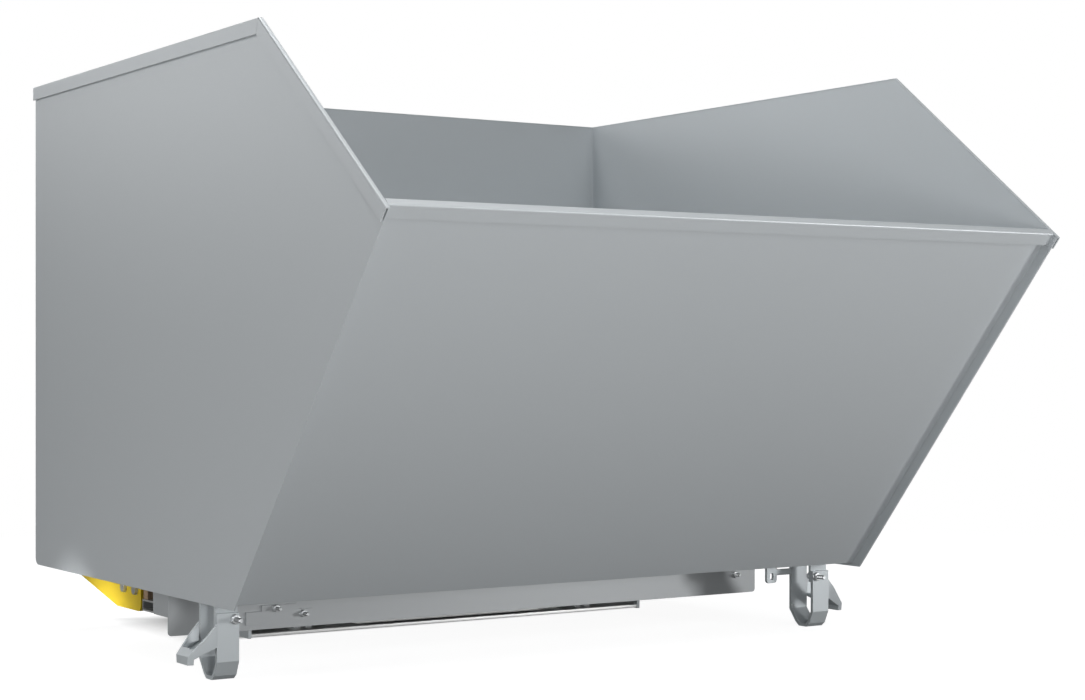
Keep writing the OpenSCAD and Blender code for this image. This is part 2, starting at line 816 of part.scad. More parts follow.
// Lug with an obround hole, tied to the right foot's back leg by a bar
module eye_lug() {
    r = eye_hole_w / 2;
    x0 = eye_mid_x - eye_w / 2;
    hole_z = eye_low_z + eye_margin + r;
    color(steel) place()
        along_y(foot_inner_y, foot_back_y)
            difference() {
                union() {
                    translate([x0, eye_low_z + eye_corner_r])
                        square([eye_w, floor_z - eye_low_z - eye_corner_r]);
                    for (x = [x0 + eye_corner_r, x0 + eye_w - eye_corner_r])
                        translate([x, eye_low_z + eye_corner_r])
                            circle(eye_corner_r);
                    translate([x0 + eye_corner_r, eye_low_z])
                        square([eye_w - 2 * eye_corner_r, eye_corner_r]);
                    translate([eye_mid_x, eye_bar_z])
                        square([foot_x0 - eye_mid_x, eye_bar_h]);
                }
                for (z = [hole_z, hole_z + eye_hole_h - eye_hole_w])
                    translate([eye_mid_x, z])
                        circle(r);
                translate([eye_mid_x - r, hole_z])
                    square([eye_hole_w, eye_hole_h - eye_hole_w]);
            }
}

// Striker under the floor, which the latch hook holds down
module striker_bar() {
    half = striker_x + striker_plate_t + striker_end;
    color(zinc) place()
        rod_x(-half, half, shaft_y, striker_z, striker_d);
}
module striker_plates() {
    z0 = striker_z - striker_d / 2 - striker_margin;
    color(steel_dark) place()
        for (side = [-1, 1])
            on_side(side)
                along_x(striker_x, striker_x + striker_plate_t)
                    difference() {
                        translate([shaft_y - striker_plate_l / 2, z0])
                            square([striker_plate_l, floor_z - z0]);
                        translate([shaft_y, striker_z])
                            circle(d = striker_d);
                    }
}

// Base: pockets, beams, channel, buffers, hinge lugs and skids
module fork_pocket(side) {
    color(steel_dark) place() on_side(side)
        along_y(beam_back_y, pocket_back_y)
            difference() {
                translate([pocket_x0, base_z])
                    square([pocket_w, pocket_h]);
                translate([pocket_x0 + pocket_t, base_z + pocket_t])
                    square([pocket_w - 2 * pocket_t, pocket_h - 2 * pocket_t]);
            }
}
module left_fork_pocket() { fork_pocket(-1); }
module right_fork_pocket() { fork_pocket(1); }

// Flat bar with a long slot right through it
module front_beam() {
    y0 = base_y + slot_lip;
    x0 = slot_shift - slot_w / 2;
    color(zinc) place()
        difference() {
            along_x(-beam_half_w, beam_half_w)
                polygon([[base_y, base_z], [beam_back_y, base_z], [beam_back_y, beam_top_z],
                         [base_y + beam_nose, beam_top_z], [base_y, beam_top_z - beam_nose]]);
            along_z(base_z - 1, beam_top_z + 1)
                difference() {
                    translate([x0, y0])
                        square([slot_w, slot_d]);
                    corner_cut([x0, y0], [1, 1], slot_corner_r);
                    corner_cut([x0 + slot_w, y0], [-1, 1], slot_corner_r);
                }
        }
}
module beam_end_caps() {
    z0 = base_z - cap_proud;
    color(steel) place()
        for (side = [-1, 1])
            on_side(side)
                block(beam_half_w, beam_half_w + cap_t, base_y - cap_proud, beam_back_y, z0,
                      z0 + cap_h);
}
module rear_beam() {
    half = pocket_x0 + pocket_w;
    z0 = pocket_top_z;
    t = rear_beam_t;
    color(steel_dark) place()
        along_x(-half, half)
            difference() {
                translate([rear_beam_y0, z0])
                    square([rear_beam_d, rear_beam_h]);
                translate([rear_beam_y0 + t, z0 + t])
                    square([rear_beam_d - 2 * t, rear_beam_h - 2 * t]);
            }
}
module cross_channel() {
    path = [[channel_y, channel_top_z], [channel_back_y, channel_top_z],
            [channel_back_y, pocket_top_z], [channel_y, pocket_top_z]];
    color(zinc) place()
        along_x(-lever_x1, lever_x1)
            polygon(folded(reverse(path), channel_t));
}
module rest_buffer(side) {
    x1 = half_w - buffer_inset;
    y1 = channel_back_y - buffer_back_gap;
    color(buffer_brown) place() on_side(side)
        block(x1 - buffer_w, x1, y1 - buffer_d, y1, channel_top_z, floor_z - rest_gap);
}
module left_buffer() { rest_buffer(-1); }
module right_buffer() { rest_buffer(1); }

module pivot_lug_outline() {
    y1 = channel_y;
    polygon([[pivot_y, lug_low_z], [y1 - lug_foot_l - lug_throat_l, lug_low_z],
             [y1 - lug_foot_l, beam_top_z], [y1, beam_top_z], [y1, lug_top_z],
             [pivot_y, lug_top_z]]);
}
module pivot_lugs(side) {
    color(steel_dark) place() on_side(side)
        for (x = [pivot_x - lug_x - lug_t, pivot_x + lug_x])
            along_x(x, x + lug_t)
                difference() {
                    union() {
                        translate([pivot_y, pivot_z])
                            circle(nose_r);
                        pivot_lug_outline();
                    }
                    translate([pivot_y, pivot_z])
                        circle(d = pivot_d + 2 * pivot_play);
                }
}
module left_pivot_lugs() { pivot_lugs(-1); }
module right_pivot_lugs() { pivot_lugs(1); }

// Hinge pins with their heads outside, and a washer and a nut inside
module pivot_pins() {
    x0 = pivot_x - lug_x - lug_t;
    x1 = pivot_x + lug_x + lug_t;
    color(zinc) place()
        for (side = [-1, 1])
            on_side(side) {
                rod_x(x0 - pin_washer_t - pin_nut_h - pin_end, x1 + 1, pivot_y, pivot_z, pivot_d);
                rod_x(x1, x1 + pin_head_h, pivot_y, pivot_z, pin_head_d);
            }
}
module ring_x(x0, x1, y, z, inner_d, outer_d) {
    along_x(x0, x1)
        difference() {
            translate([y, z])
                circle(d = outer_d);
            translate([y, z])
                circle(d = inner_d);
        }
}
module pivot_washers() {
    x = pivot_x - lug_x - lug_t;
    color(zinc) place()
        for (side = [-1, 1])
            on_side(side)
                ring_x(x - pin_washer_t, x, pivot_y, pivot_z, pivot_d + 2 * pivot_play, pin_head_d);
}
module pivot_nuts() {
    x1 = pivot_x - lug_x - lug_t - pin_washer_t;
    color(zinc) place()
        for (side = [-1, 1])
            on_side(side)
                difference() {
                    hex_x(x1 - pin_nut_h, x1, pivot_y, pivot_z, pin_head_d * cos(30) / nut_ratio);
                    rod_x(x1 - pin_nut_h - 1, x1 + 1, pivot_y, pivot_z, pivot_d + 2 * pivot_play);
                }
}

module skid(side) {
    y0 = beam_back_y + skid_front_gap;
    y1 = pocket_back_y - skid_back_gap;
    b = skid_bevel;
    color(steel_dark) place() on_side(side)
        along_x(pivot_x - skid_w / 2, pivot_x + skid_w / 2)
            polygon([[y0 + b, 0], [y1 - b, 0], [y1, b], [y1, base_z], [y0, base_z], [y0, b]]);
}
module left_skid() { skid(-1); }
module right_skid() { skid(1); }

// Bearings of the latch shaft
module bearing_outline(y0, y1, z0) {
    difference() {
        translate([y0, z0])
            square([y1 - y0, bearing_top_z - z0]);
        translate([shaft_y, shaft_z])
            circle(d = shaft_d + 2 * shaft_play);
    }
}
module shaft_bearings() {
    color(steel_dark) place()
        for (side = [-1, 1])
            on_side(side)
                along_x(pivot_x - bearing_w / 2, pivot_x + bearing_w / 2)
                    bearing_outline(shaft_y - bearing_l / 2, shaft_y + bearing_l / 2, pocket_top_z);
}
module outer_bearing() {
    color(steel_dark) place()
        along_x(-outer_bearing_x, outer_bearing_t - outer_bearing_x)
            bearing_outline(channel_back_y, shaft_y + bearing_l / 2, pocket_top_z);
}

// Latch: shaft, hook, flange and the yellow release lever
module latch_shaft() {
    color(zinc) place()
        rod_x(-flange_x0, shaft_right_x, shaft_y, shaft_z, shaft_d);
}
// Part of a disc of radius r between two angles
module wedge(r, a0, a1) {
    polygon(concat([[0, 0]], [for (a = [a0, (a0 + a1) / 2, a1]) 2 * r * [cos(a), sin(a)]]));
}
module latch_hook() {
    color(steel) place()
        along_x(-hook_t / 2, hook_t / 2)
            translate([shaft_y, shaft_z])
                difference() {
                    union() {
                        circle(hub_r);
                        intersection() {
                            difference() {
                                circle(claw_out_r);
                                circle(claw_in_r);
                            }
                            wedge(claw_out_r, claw_tip_a, claw_back_a);
                        }
                        intersection() {
                            circle(claw_in_r + 1);
                            wedge(claw_out_r, claw_back_a - claw_spoke_a, claw_back_a);
                        }
                    }
                    circle(d = shaft_d + 2 * shaft_play);
                }
}
module lever_bolt_holes() {
    for (y = lever_bolt_y)
        translate([y, lever_bolt_z])
            circle(d = lever_bolt_d + 2 * bolt_play);
}
module lever_flange() {
    y0 = lever_bolt_y[0] - lever_bolt_d - flange_margin;
    y1 = lever_bolt_y[1] + lever_bolt_d + flange_margin;
    z0 = shaft_z - shaft_d / 2;
    color(steel_dark) place() on_side(-1)
        along_x(flange_x0, lever_x0)
            difference() {
                translate([y0, z0])
                    square([y1 - y0, lever_bolt_z + lever_bolt_d + flange_margin / 2 - z0]);
                lever_bolt_holes();
            }
}
module release_lever() {
    y0 = lever_front_y;
    z0 = lever_low_z;
    tail_z = lever_top_z - lever_tail_h;
    color(lever_yellow) place() on_side(-1)
        along_x(lever_x0, lever_x1)
            difference() {
                polygon([[y0, z0], [y0 + lever_flat, z0], [lever_tail_y, tail_z],
                         [lever_tail_y, lever_top_z], [y0 + lever_crop, lever_top_z],
                         [y0, lever_top_z - lever_crop_z]]);
                corner_cut([y0, z0], [1, 1], lever_corner_r);
                lever_bolt_holes();
                translate([lever_tail_y - rope_hole_ahead, lever_top_z - rope_hole_drop])
                    circle(d = rope_hole_d);
            }
}
module lever_bolts() {
    color(zinc) place() on_side(-1)
        for (y = lever_bolt_y) {
            rod_x(flange_x0 - nut_h - lever_bolt_end, lever_x1 + 1, y, lever_bolt_z, lever_bolt_d);
            hex_x(lever_x1, lever_x1 + nut_h, y, lever_bolt_z, lever_bolt_d);
        }
}
module lever_nuts() {
    color(zinc) place() on_side(-1)
        for (y = lever_bolt_y)
            difference() {
                hex_x(flange_x0 - nut_h, flange_x0, y, lever_bolt_z, lever_bolt_d);
                rod_x(flange_x0 - nut_h - 1, flange_x0 + 1, y, lever_bolt_z, lever_bolt_d);
            }
}
module shaft_collars() {
    x1 = pivot_x + bearing_w / 2 + collar_side_gap;
    color(zinc) place() {
        ring_x(x1, x1 + collar_w, shaft_y, shaft_z, shaft_d, 2 * collar_r);
        ring_x(-x1 - collar_w, -x1, shaft_y, shaft_z, shaft_d, 2 * collar_r);
    }
}

floor_sheet();
front_sheet();
back_sheet();
left_side_sheet();
right_side_sheet();
left_top_rim();
right_top_rim();
left_mouth_rim();
right_mouth_rim();
back_rim();
lip_rim();
skirt_plate();
left_end_plate();
right_end_plate();
left_hinge_cheek();
right_hinge_cheek();
left_outer_stiffener();
left_inner_stiffener();
right_inner_stiffener();
right_outer_stiffener();
left_foot_loop();
right_foot_loop();
left_foot_ear();
right_foot_ear();
left_foot_lug();
right_foot_lug();
foot_bolts();
skirt_bracket();
skirt_bolts();
eye_lug();
striker_bar();
striker_plates();
left_fork_pocket();
right_fork_pocket();
front_beam();
beam_end_caps();
rear_beam();
cross_channel();
left_buffer();
right_buffer();
left_pivot_lugs();
right_pivot_lugs();
pivot_pins();
pivot_washers();
pivot_nuts();
left_skid();
right_skid();
shaft_bearings();
outer_bearing();
latch_shaft();
latch_hook();
lever_flange();
release_lever();
lever_bolts();
lever_nuts();
shaft_collars();
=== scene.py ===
"""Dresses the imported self-dumping hopper: folded and rounded steel, bolts, weld beads, light."""
import json
import math

import bmesh
import bpy
from bpy.props import FloatProperty, FloatVectorProperty, PointerProperty
from bpy.types import Operator, Panel, PropertyGroup
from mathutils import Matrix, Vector


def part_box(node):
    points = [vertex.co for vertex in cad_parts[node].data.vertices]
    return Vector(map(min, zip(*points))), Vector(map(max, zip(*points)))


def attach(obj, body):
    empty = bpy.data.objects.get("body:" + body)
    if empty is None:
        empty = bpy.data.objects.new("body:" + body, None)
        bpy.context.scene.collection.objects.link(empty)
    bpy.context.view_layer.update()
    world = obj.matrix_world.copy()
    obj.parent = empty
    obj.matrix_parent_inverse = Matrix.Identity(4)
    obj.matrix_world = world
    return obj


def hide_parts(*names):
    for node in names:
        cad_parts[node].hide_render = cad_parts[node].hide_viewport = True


bl_info = {
    "name": "Self-dumping hopper",
    "version": (1, 0, 0),
    "blender": (4, 5, 0),
    "location": "3D View > Sidebar > Hopper",
    "description": "Finishes the steel, the bolts and the welds of a self-dumping hopper",
    "category": "Object",
}

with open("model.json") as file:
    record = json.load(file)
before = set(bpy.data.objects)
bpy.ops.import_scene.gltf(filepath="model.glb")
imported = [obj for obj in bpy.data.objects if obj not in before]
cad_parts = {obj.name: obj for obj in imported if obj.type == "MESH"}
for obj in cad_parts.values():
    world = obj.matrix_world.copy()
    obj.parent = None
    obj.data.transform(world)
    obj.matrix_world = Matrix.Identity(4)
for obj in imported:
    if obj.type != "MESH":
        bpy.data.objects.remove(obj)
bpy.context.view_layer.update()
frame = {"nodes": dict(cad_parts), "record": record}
cad_nodes = frame["nodes"]
slot_of = {sub["node"]: sub["material_slot"] for sub in frame["record"]["subparts"]}
body_of = {node: body for body, nodes in frame["record"]["behaviour"]["bodies"].items()
           for node in nodes}

MERGE_GAP = 2e-5
FLAT_ANGLE = math.radians(0.4)
SHARP_ANGLE = math.radians(32)
SMOOTH_ANGLE = math.radians(40)
HEX_CORNER = 2 / math.sqrt(3)

# Bolts: width across flats in diameters, height of a head with its washer, and the radii of a
# washer, the bore in diameters and the rim in widths across flats
BOLT_FLATS = 1.7
BOLT_HEAD = 0.008
WASHER_BORE = 0.51
WASHER_RIM = 0.6

# Feet: where the toes bend, what lies below them, how far it is drawn in, and how high the painted
# highlight on the toes' lower bevel reaches
TOE_BEND_Z = 0.037
TOE_LOW_Z = 0.02
TOE_DRAW = 0.006
TOE_HIGHLIGHT_Z = 0.036
EAR_RIB = 0.006
EAR_RIB_EDGE = 0.0062

# Bends of the thin profiles, panels in the buffers, beads round the latch shaft
STIFFENER_BEND = 0.002
CHANNEL_BEND = 0.0022
PANEL_INSET = 0.0055
PANEL_DEPTH = 0.0012
RING_BEAD = 0.0028

# How far the slot in the front beam lies from the beam's ends, front and back
SLOT_ENDS = 0.05
SLOT_FRONT = 0.003
SLOT_BACK = 0.01


class HopperSizes(PropertyGroup):
    """Sizes of the rounded edges and bends, and of the weld beads."""

    sheet_edge: FloatProperty(
        name="Sheet edge", description="Rounding of the cut edges of the sheets",
        default=0.0007, min=0.0002, max=0.0015, unit="LENGTH")
    plate_edge: FloatProperty(
        name="Plate edge", description="Rounding of the cut edges of plates and flat bars",
        default=0.0011, min=0.0003, max=0.002, unit="LENGTH")
    rim_bend: FloatProperty(
        name="Rim bend", description="Outer radius of the bend along each rim",
        default=0.004, min=0.001, max=0.006, unit="LENGTH")
    tube_bend: FloatProperty(
        name="Tube bend", description="Outer radius of the corners of the tubes and the channel",
        default=0.006, min=0.002, max=0.008, unit="LENGTH")
    bar_bend: FloatProperty(
        name="Bar bend", description="Radius of the bends in the flat bar of the feet",
        default=0.004, min=0.001, max=0.008, unit="LENGTH")
    lever_edge: FloatProperty(
        name="Lever edge", description="Rounding round the release lever",
        default=0.0026, min=0.0005, max=0.004, unit="LENGTH")
    buffer_edge: FloatProperty(
        name="Buffer edge", description="Rounding of the moulded buffers",
        default=0.003, min=0.001, max=0.006, unit="LENGTH")
    washer: FloatProperty(
        name="Washer", description="Thickness of the washers under nuts and heads",
        default=0.002, min=0.001, max=0.003, unit="LENGTH")
    bead: FloatProperty(
        name="Weld bead", description="Radius of the weld beads",
        default=0.0028, min=0.001, max=0.005, unit="LENGTH")


class HopperColours(PropertyGroup):
    """Colours of the coats, the metals and the floor. Only the floor's is in effect: see coat()."""

    bin_coat: FloatVectorProperty(
        name="Bin coat", description="Satin coat of the bin",
        default=(0.218, 0.24, 0.252), min=0, max=1, subtype="COLOR")
    frame_coat: FloatVectorProperty(
        name="Frame coat", description="Satin coat of the skirt and the base",
        default=(0.155, 0.172, 0.182), min=0, max=1, subtype="COLOR")
    foot_coat: FloatVectorProperty(
        name="Foot coat", description="Coat of the feet",
        default=(0.34, 0.365, 0.375), min=0, max=1, subtype="COLOR")
    galvanised: FloatVectorProperty(
        name="Galvanised steel", description="Zinc coat of the front beam and the channel",
        default=(0.93, 0.94, 0.93), min=0, max=1, subtype="COLOR")
    fasteners: FloatVectorProperty(
        name="Fasteners", description="Plating of the bolts, nuts and pins",
        default=(0.18, 0.185, 0.19), min=0, max=1, subtype="COLOR")
    lever_coat: FloatVectorProperty(
        name="Lever coat", description="Powder coat of the release lever",
        default=(0.93, 0.42, 0.003), min=0, max=1, subtype="COLOR")
    buffer_rubber: FloatVectorProperty(
        name="Buffer rubber", description="Rubber of the rest buffers",
        default=(0.16, 0.085, 0.045), min=0, max=1, subtype="COLOR")
    floor: FloatVectorProperty(
        name="Floor", description="Studio floor",
        default=(0.25, 0.25, 0.25), min=0, max=1, subtype="COLOR")


def sizes():
    return bpy.context.scene.hopper_sizes


def colours():
    return bpy.context.scene.hopper_colours


# Editing by selection

def solo(piece):
    """Makes one piece the only selected and the active one."""
    bpy.ops.object.select_all(action="DESELECT")
    piece.select_set(True)
    bpy.context.view_layer.objects.active = piece


def edit(piece):
    solo(piece)
    bpy.ops.object.mode_set(mode="EDIT")
    bpy.ops.mesh.select_mode(type="EDGE")
    bpy.ops.mesh.select_all(action="DESELECT")


def leave_edit():
    bpy.ops.object.mode_set(mode="OBJECT")


def select_edges(piece, wanted):
    """Selects and counts the edges that wanted(middle, direction, normals beside it) takes."""
    mesh = bmesh.from_edit_mesh(piece.data)
    count = 0
    for edge in mesh.edges:
        a, b = (v.co for v in edge.verts)
        if wanted((a + b) / 2, (b - a).normalized(), [f.normal for f in edge.link_faces]):
            edge.select_set(True)
            count += 1
    bmesh.update_edit_mesh(piece.data)
    return count


def select_faces(piece, wanted):
    """Selects the faces that wanted(middle, normal) takes."""
    mesh = bmesh.from_edit_mesh(piece.data)
    for face in mesh.faces:
        if wanted(face.calc_center_median(), face.normal):
            face.select_set(True)
    bmesh.update_edit_mesh(piece.data)


def taken_from(node, name):
    """A copy of a CAD node's mesh with its loose triangles merged to flat faces."""
    piece = bpy.data.objects.new(name, cad_nodes[node].data.copy())
    piece.data.name = name
    piece.data.materials.clear()
    bpy.context.scene.collection.objects.link(piece)
    solo(piece)
    bpy.ops.mesh.customdata_custom_splitnormals_clear()
    edit(piece)
    bpy.ops.mesh.select_all(action="SELECT")
    bpy.ops.mesh.remove_doubles(threshold=MERGE_GAP)
    bpy.ops.mesh.dissolve_limited(angle_limit=FLAT_ANGLE)
    leave_edit()
    return piece


def round_bends(piece, wanted, radius, segments=5):
    """Rounds the chosen edges, as a press brake leaves them."""
    edit(piece)
    if not select_edges(piece, wanted):
        raise RuntimeError(f"{piece.name} has no edge to round")
    bpy.ops.mesh.bevel(offset=radius, segments=segments, affect="EDGES", clamp_overlap=True)
    leave_edit()


def break_edges(piece, width, segments=2):
    """Takes the sharpness off all edges, and marks the narrow faces to be drawn lighter: partly
    paint wear, partly a painted highlight.
    """
    solo(piece)
    while len(piece.data.materials) < 2:
        piece.data.materials.append(None)
    bevel = piece.modifiers.new("edge", "BEVEL")
    bevel.width = width
    bevel.segments = segments
    bevel.limit_method = "ANGLE"
    bevel.angle_limit = SHARP_ANGLE
    bevel.material = 1
    bpy.ops.object.modifier_apply(modifier=bevel.name)
    mesh = piece.data
    wear_and_sheen_layer = mesh.attributes.new("wear_and_sheen_edge", "FLOAT", "FACE")
    for face, value in zip(mesh.polygons, wear_and_sheen_layer.data):
        value.value = 1.0 if face.material_index == 1 else 0.0
        face.material_index = 0
    mesh.materials.clear()


def mark_painted_highlight(piece, test):
    """Marks the faces whose middle and normal pass the test to be drawn lighter: a painted
    highlight.
    """
    layer = piece.data.attributes.get("wear_and_sheen_edge")
    layer = layer or piece.data.attributes.new("wear_and_sheen_edge", "FLOAT", "FACE")
    for face, value in zip(piece.data.polygons, layer.data):
        if test(face.center, face.normal):
            value.value = 1.0


def smooth(piece):
    """Smooth shading across the bends, flat faces kept flat."""
    solo(piece)
    bpy.ops.object.shade_smooth_by_angle(angle=SMOOTH_ANGLE)
    normals = piece.modifiers.new("normals", "WEIGHTED_NORMAL")
    normals.keep_sharp = True
    bpy.ops.object.modifier_apply(modifier=normals.name)


def settle(piece, *replaced):
    """Gives a finished piece the coat, the slot and the body of the CAD nodes it stands for."""
    node = replaced[0]
    piece.data.materials.clear()
    piece.data.materials.append(coat(slot_of[node]))
    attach(piece, body_of[node])
    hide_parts(*replaced)
    return piece


def dressed(node, width, bends=None, radius=0.0, shape=None):
    """A CAD node's copy with its bends rounded and its edges broken."""
    piece = taken_from(node, node + "_finished")
    if shape:
        shape(piece)
    if bends:
        round_bends(piece, bends, radius)
    break_edges(piece, width)
    smooth(piece)
    return settle(piece, node)


def solids_of(node):
    """Boxes of the separate solids of a CAD node, from left to right."""
    mesh = bmesh.new()
    mesh.from_mesh(cad_nodes[node].data)
    bmesh.ops.remove_doubles(mesh, verts=mesh.verts, dist=MERGE_GAP)
    waiting = set(mesh.verts)
    boxes = []
    while waiting:
        reached = [waiting.pop()]
        for vert in reached:
            for edge in vert.link_edges:
                other = edge.other_vert(vert)
                if other in waiting:
                    waiting.remove(other)
                    reached.append(other)
        boxes.append(tuple(Vector(pick(v.co[i] for v in reached) for i in range(3))
                           for pick in (min, max)))
    mesh.free()
    return sorted(boxes, key=lambda box: box[0].x)


# Parts modelled from nothing, each along the Z axis with its foot at the origin

def blank(name):
    piece = bpy.data.objects.new(name, bpy.data.meshes.new(name))
    bpy.context.scene.collection.objects.link(piece)
    return piece


def close_up(piece):
    """Merges what coincides and turns all faces outwards."""
    edit(piece)
    bpy.ops.mesh.select_all(action="SELECT")
    bpy.ops.mesh.remove_doubles(threshold=5e-6)
    bpy.ops.mesh.normals_make_consistent(inside=False)
    leave_edit()


def apply_to(piece, kind, **settings):
    modifier = piece.modifiers.new(kind.lower(), kind)
    for key, value in settings.items():
        setattr(modifier, key, value)
    solo(piece)
    bpy.ops.object.modifier_apply(modifier=modifier.name)


def turned(name, profile, steps=40):
    """A turned part: its profile of radii and heights is spun about the axis."""
    piece = blank(name)
    edit(piece)
    bpy.ops.mesh.select_mode(type="VERT")
    corners = [Vector((radius, 0.0, height)) for radius, height in profile]
    bpy.ops.mesh.primitive_plane_add(size=0.001, location=corners[0])
    bpy.ops.mesh.merge(type="CENTER")
    for here, there in zip(corners, corners[1:]):
        bpy.ops.mesh.extrude_region_move(TRANSFORM_OT_translate={"value": there - here})
    bpy.ops.mesh.select_all(action="SELECT")
    bpy.ops.mesh.spin(steps=steps, angle=2 * math.pi, center=(0, 0, 0), axis=(0, 0, 1))
    leave_edit()
    close_up(piece)
    return piece


def washer(inner, outer, low, high):
    """A punched ring with its upper edge rolled over."""
    roll = (high - low) * 0.3
    return turned("washer", [(inner, low), (outer, low), (outer, high - roll),
                             (outer - roll, high), (inner, high), (inner, low)])


def hexagon(flats, low, high):
    """A hexagon with turned corners at both ends, for a nut or a bolt head."""
    corner = flats / 2 * HEX_CORNER
    piece = blank("hexagon")
    edit(piece)
    bpy.ops.mesh.primitive_cylinder_add(vertices=6, radius=corner, depth=high - low,
                                        location=(0, 0, (low + high) / 2))
    leave_edit()
    cut = (corner - flats / 2 * 0.96) * 0.6
    cone = turned("corner_turning", [
        (0, low), (flats / 2 * 0.96, low), (corner + 1e-4, low + cut + 6e-5),
        (corner + 1e-4, high - cut - 6e-5), (flats / 2 * 0.96, high), (0, high)], 48)
    apply_to(piece, "BOOLEAN", operation="INTERSECT", solver="EXACT", object=cone)
    bpy.data.objects.remove(cone)
    return piece


def thread(radius, low, high, pitch):
    """Profile of a threaded length, crest by crest."""
    turns = round((high - low) / pitch)
    step = (high - low) / turns
    points = []
    for i in range(turns):
        points += [(radius - 0.6 * step, low + i * step), (radius, low + (i + 0.5) * step)]
    return points


def stud(radius, low, thread_low, high, pitch=0.0015):
    """A round shank whose far end is threaded and chamfered."""
    tip = radius * 0.2
    piece = turned("stud", [(0, low), (radius, low), (radius, thread_low)]
                   + thread(radius, thread_low, high - tip, pitch)
                   + [(radius - tip, high), (0, high)], 28)
    # The chamfered tip is marked to be drawn lighter: a painted highlight.
    mark_painted_highlight(piece, lambda middle, normal: middle.z > high - tip)
    return piece


def joined(name, pieces):
    """Joins pieces into one."""
    bpy.ops.object.select_all(action="DESELECT")
    for piece in pieces:
        piece.select_set(True)
    bpy.context.view_layer.objects.active = pieces[0]
    bpy.ops.object.join()
    pieces[0].name = name
    pieces[0].data.name = name
    return pieces[0]


def placed(master, foot, along):
    """A copy of a part with its own mesh, its foot and its axis where they belong."""
    piece = master.copy()
    piece.data = master.data.copy()
    bpy.context.scene.collection.objects.link(piece)
    piece.location = foot
    piece.rotation_euler = Vector(along).to_track_quat("Z", "Y").to_euler()
    solo(piece)
    bpy.ops.object.transform_apply(location=True, rotation=True, scale=True)
    return piece


def bead(start, end, radius):
    """A weld bead, ripple by ripple, from one point to another."""
    start, end = Vector(start), Vector(end)
    length = (end - start).length
    count = max(3, round(length / (radius * 1.5)))
    pitch = length / count
    ripple = blank("bead")
    edit(ripple)
    bpy.ops.mesh.primitive_circle_add(vertices=8, radius=radius * 0.84)
    for rise, grow in ((0.62, 1.19), (0.38, 0.84)):
        bpy.ops.mesh.extrude_region_move(TRANSFORM_OT_translate={"value": (0, 0, pitch * rise)})
        bpy.ops.transform.resize(value=(grow, grow, 1), center_override=(0, 0, 0))
    leave_edit()
    apply_to(ripple, "ARRAY", count=count, use_relative_offset=False, use_constant_offset=True,
             constant_offset_displace=(0, 0, pitch), use_merge_vertices=True,
             merge_threshold=1e-5)
    edit(ripple)
    bpy.ops.mesh.select_all(action="SELECT")
    bpy.ops.mesh.fill_holes(sides=0)
    leave_edit()
    close_up(ripple)
    ripple.location = start
    ripple.rotation_euler = (end - start).to_track_quat("Z", "Y").to_euler()
    solo(ripple)
    bpy.ops.object.transform_apply(location=True, rotation=True, scale=True)
    return ripple


def stitches(start, end, radius, length=0.045, gap=0.09):
    """Short beads with gaps between them along a long seam."""
    start, end = Vector(start), Vector(end)
    whole = (end - start).length
    count = max(2, round((whole + gap) / (length + gap)))
    step = (whole - length) / (count - 1)
    along = (end - start).normalized()
    return [bead(start + along * step * i, start + along * (step * i + length), radius)
            for i in range(count)]


def welded(name, body, slot, beads):
    """One piece from all the beads on one body."""
    piece = joined(name, beads)
    smooth(piece)
    piece.data.materials.clear()
    piece.data.materials.append(coat(slot))
    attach(piece, body)
    return piece


# Materials, of which only the floor's is in effect: see coat()

class Graph:
    """A material's node tree, filled from plain calls."""

    def __init__(self, name):
        self.material = bpy.data.materials.new(name)
        self.material.use_nodes = True
        self.tree = self.material.node_tree
        self.tree.nodes.clear()
        self.place = self.add("ShaderNodeTexCoord").outputs["Object"]

    def add(self, kind, inputs=None, **settings):
        node = self.tree.nodes.new(kind)
        for key, value in settings.items():
            setattr(node, key, value)
        for key, value in (inputs or {}).items():
            if isinstance(value, bpy.types.NodeSocket):
                self.tree.links.new(value, node.inputs[key])
            else:
                node.inputs[key].default_value = value
        return node

    def noise(self, scale, detail=3.0, roughness=0.5, stretch=None):
        place = self.place
        if stretch:
            place = self.add("ShaderNodeMapping", {"Vector": place, "Scale": stretch}).outputs[0]
        return self.add("ShaderNodeTexNoise", {
            "Vector": place, "Scale": scale, "Detail": detail, "Roughness": roughness,
        }).outputs["Fac"]

    def spread(self, value, low, high, to_low=0.0, to_high=1.0):
        return self.add("ShaderNodeMapRange", {
            "Value": value, "From Min": low, "From Max": high, "To Min": to_low,
            "To Max": to_high,
        }).outputs["Result"]

    def times(self, a, b):
        return self.add("ShaderNodeMath", {0: a, 1: b}, operation="MULTIPLY").outputs[0]

    def plus(self, a, b):
        return self.add("ShaderNodeMath", {0: a, 1: b}, operation="ADD").outputs[0]

    def blend(self, share, a, b):
        node = self.add("ShaderNodeMix", data_type="RGBA")
        for socket, value in (("Factor", share), ("A", a), ("B", b)):
            target = [s for s in node.inputs if s.name == socket and s.enabled][0]
            if isinstance(value, bpy.types.NodeSocket):
                self.tree.links.new(value, target)
            else:
                target.default_value = value
        return [s for s in node.outputs if s.enabled][0]

    def bump(self, height, strength, distance, under=None):
        inputs = {"Height": height, "Strength": strength, "Distance": distance}
        if under:
            inputs["Normal"] = under
        return self.add("ShaderNodeBump", inputs).outputs["Normal"]

    def surface(self, inputs):
        shader = self.add("ShaderNodeBsdfPrincipled", inputs)
        self.add("ShaderNodeOutputMaterial", {"Surface": shader.outputs[0]})
        return self.material


def shade(colour, gain):
    return (*(min(1.0, c * gain) for c in colour), 1.0)


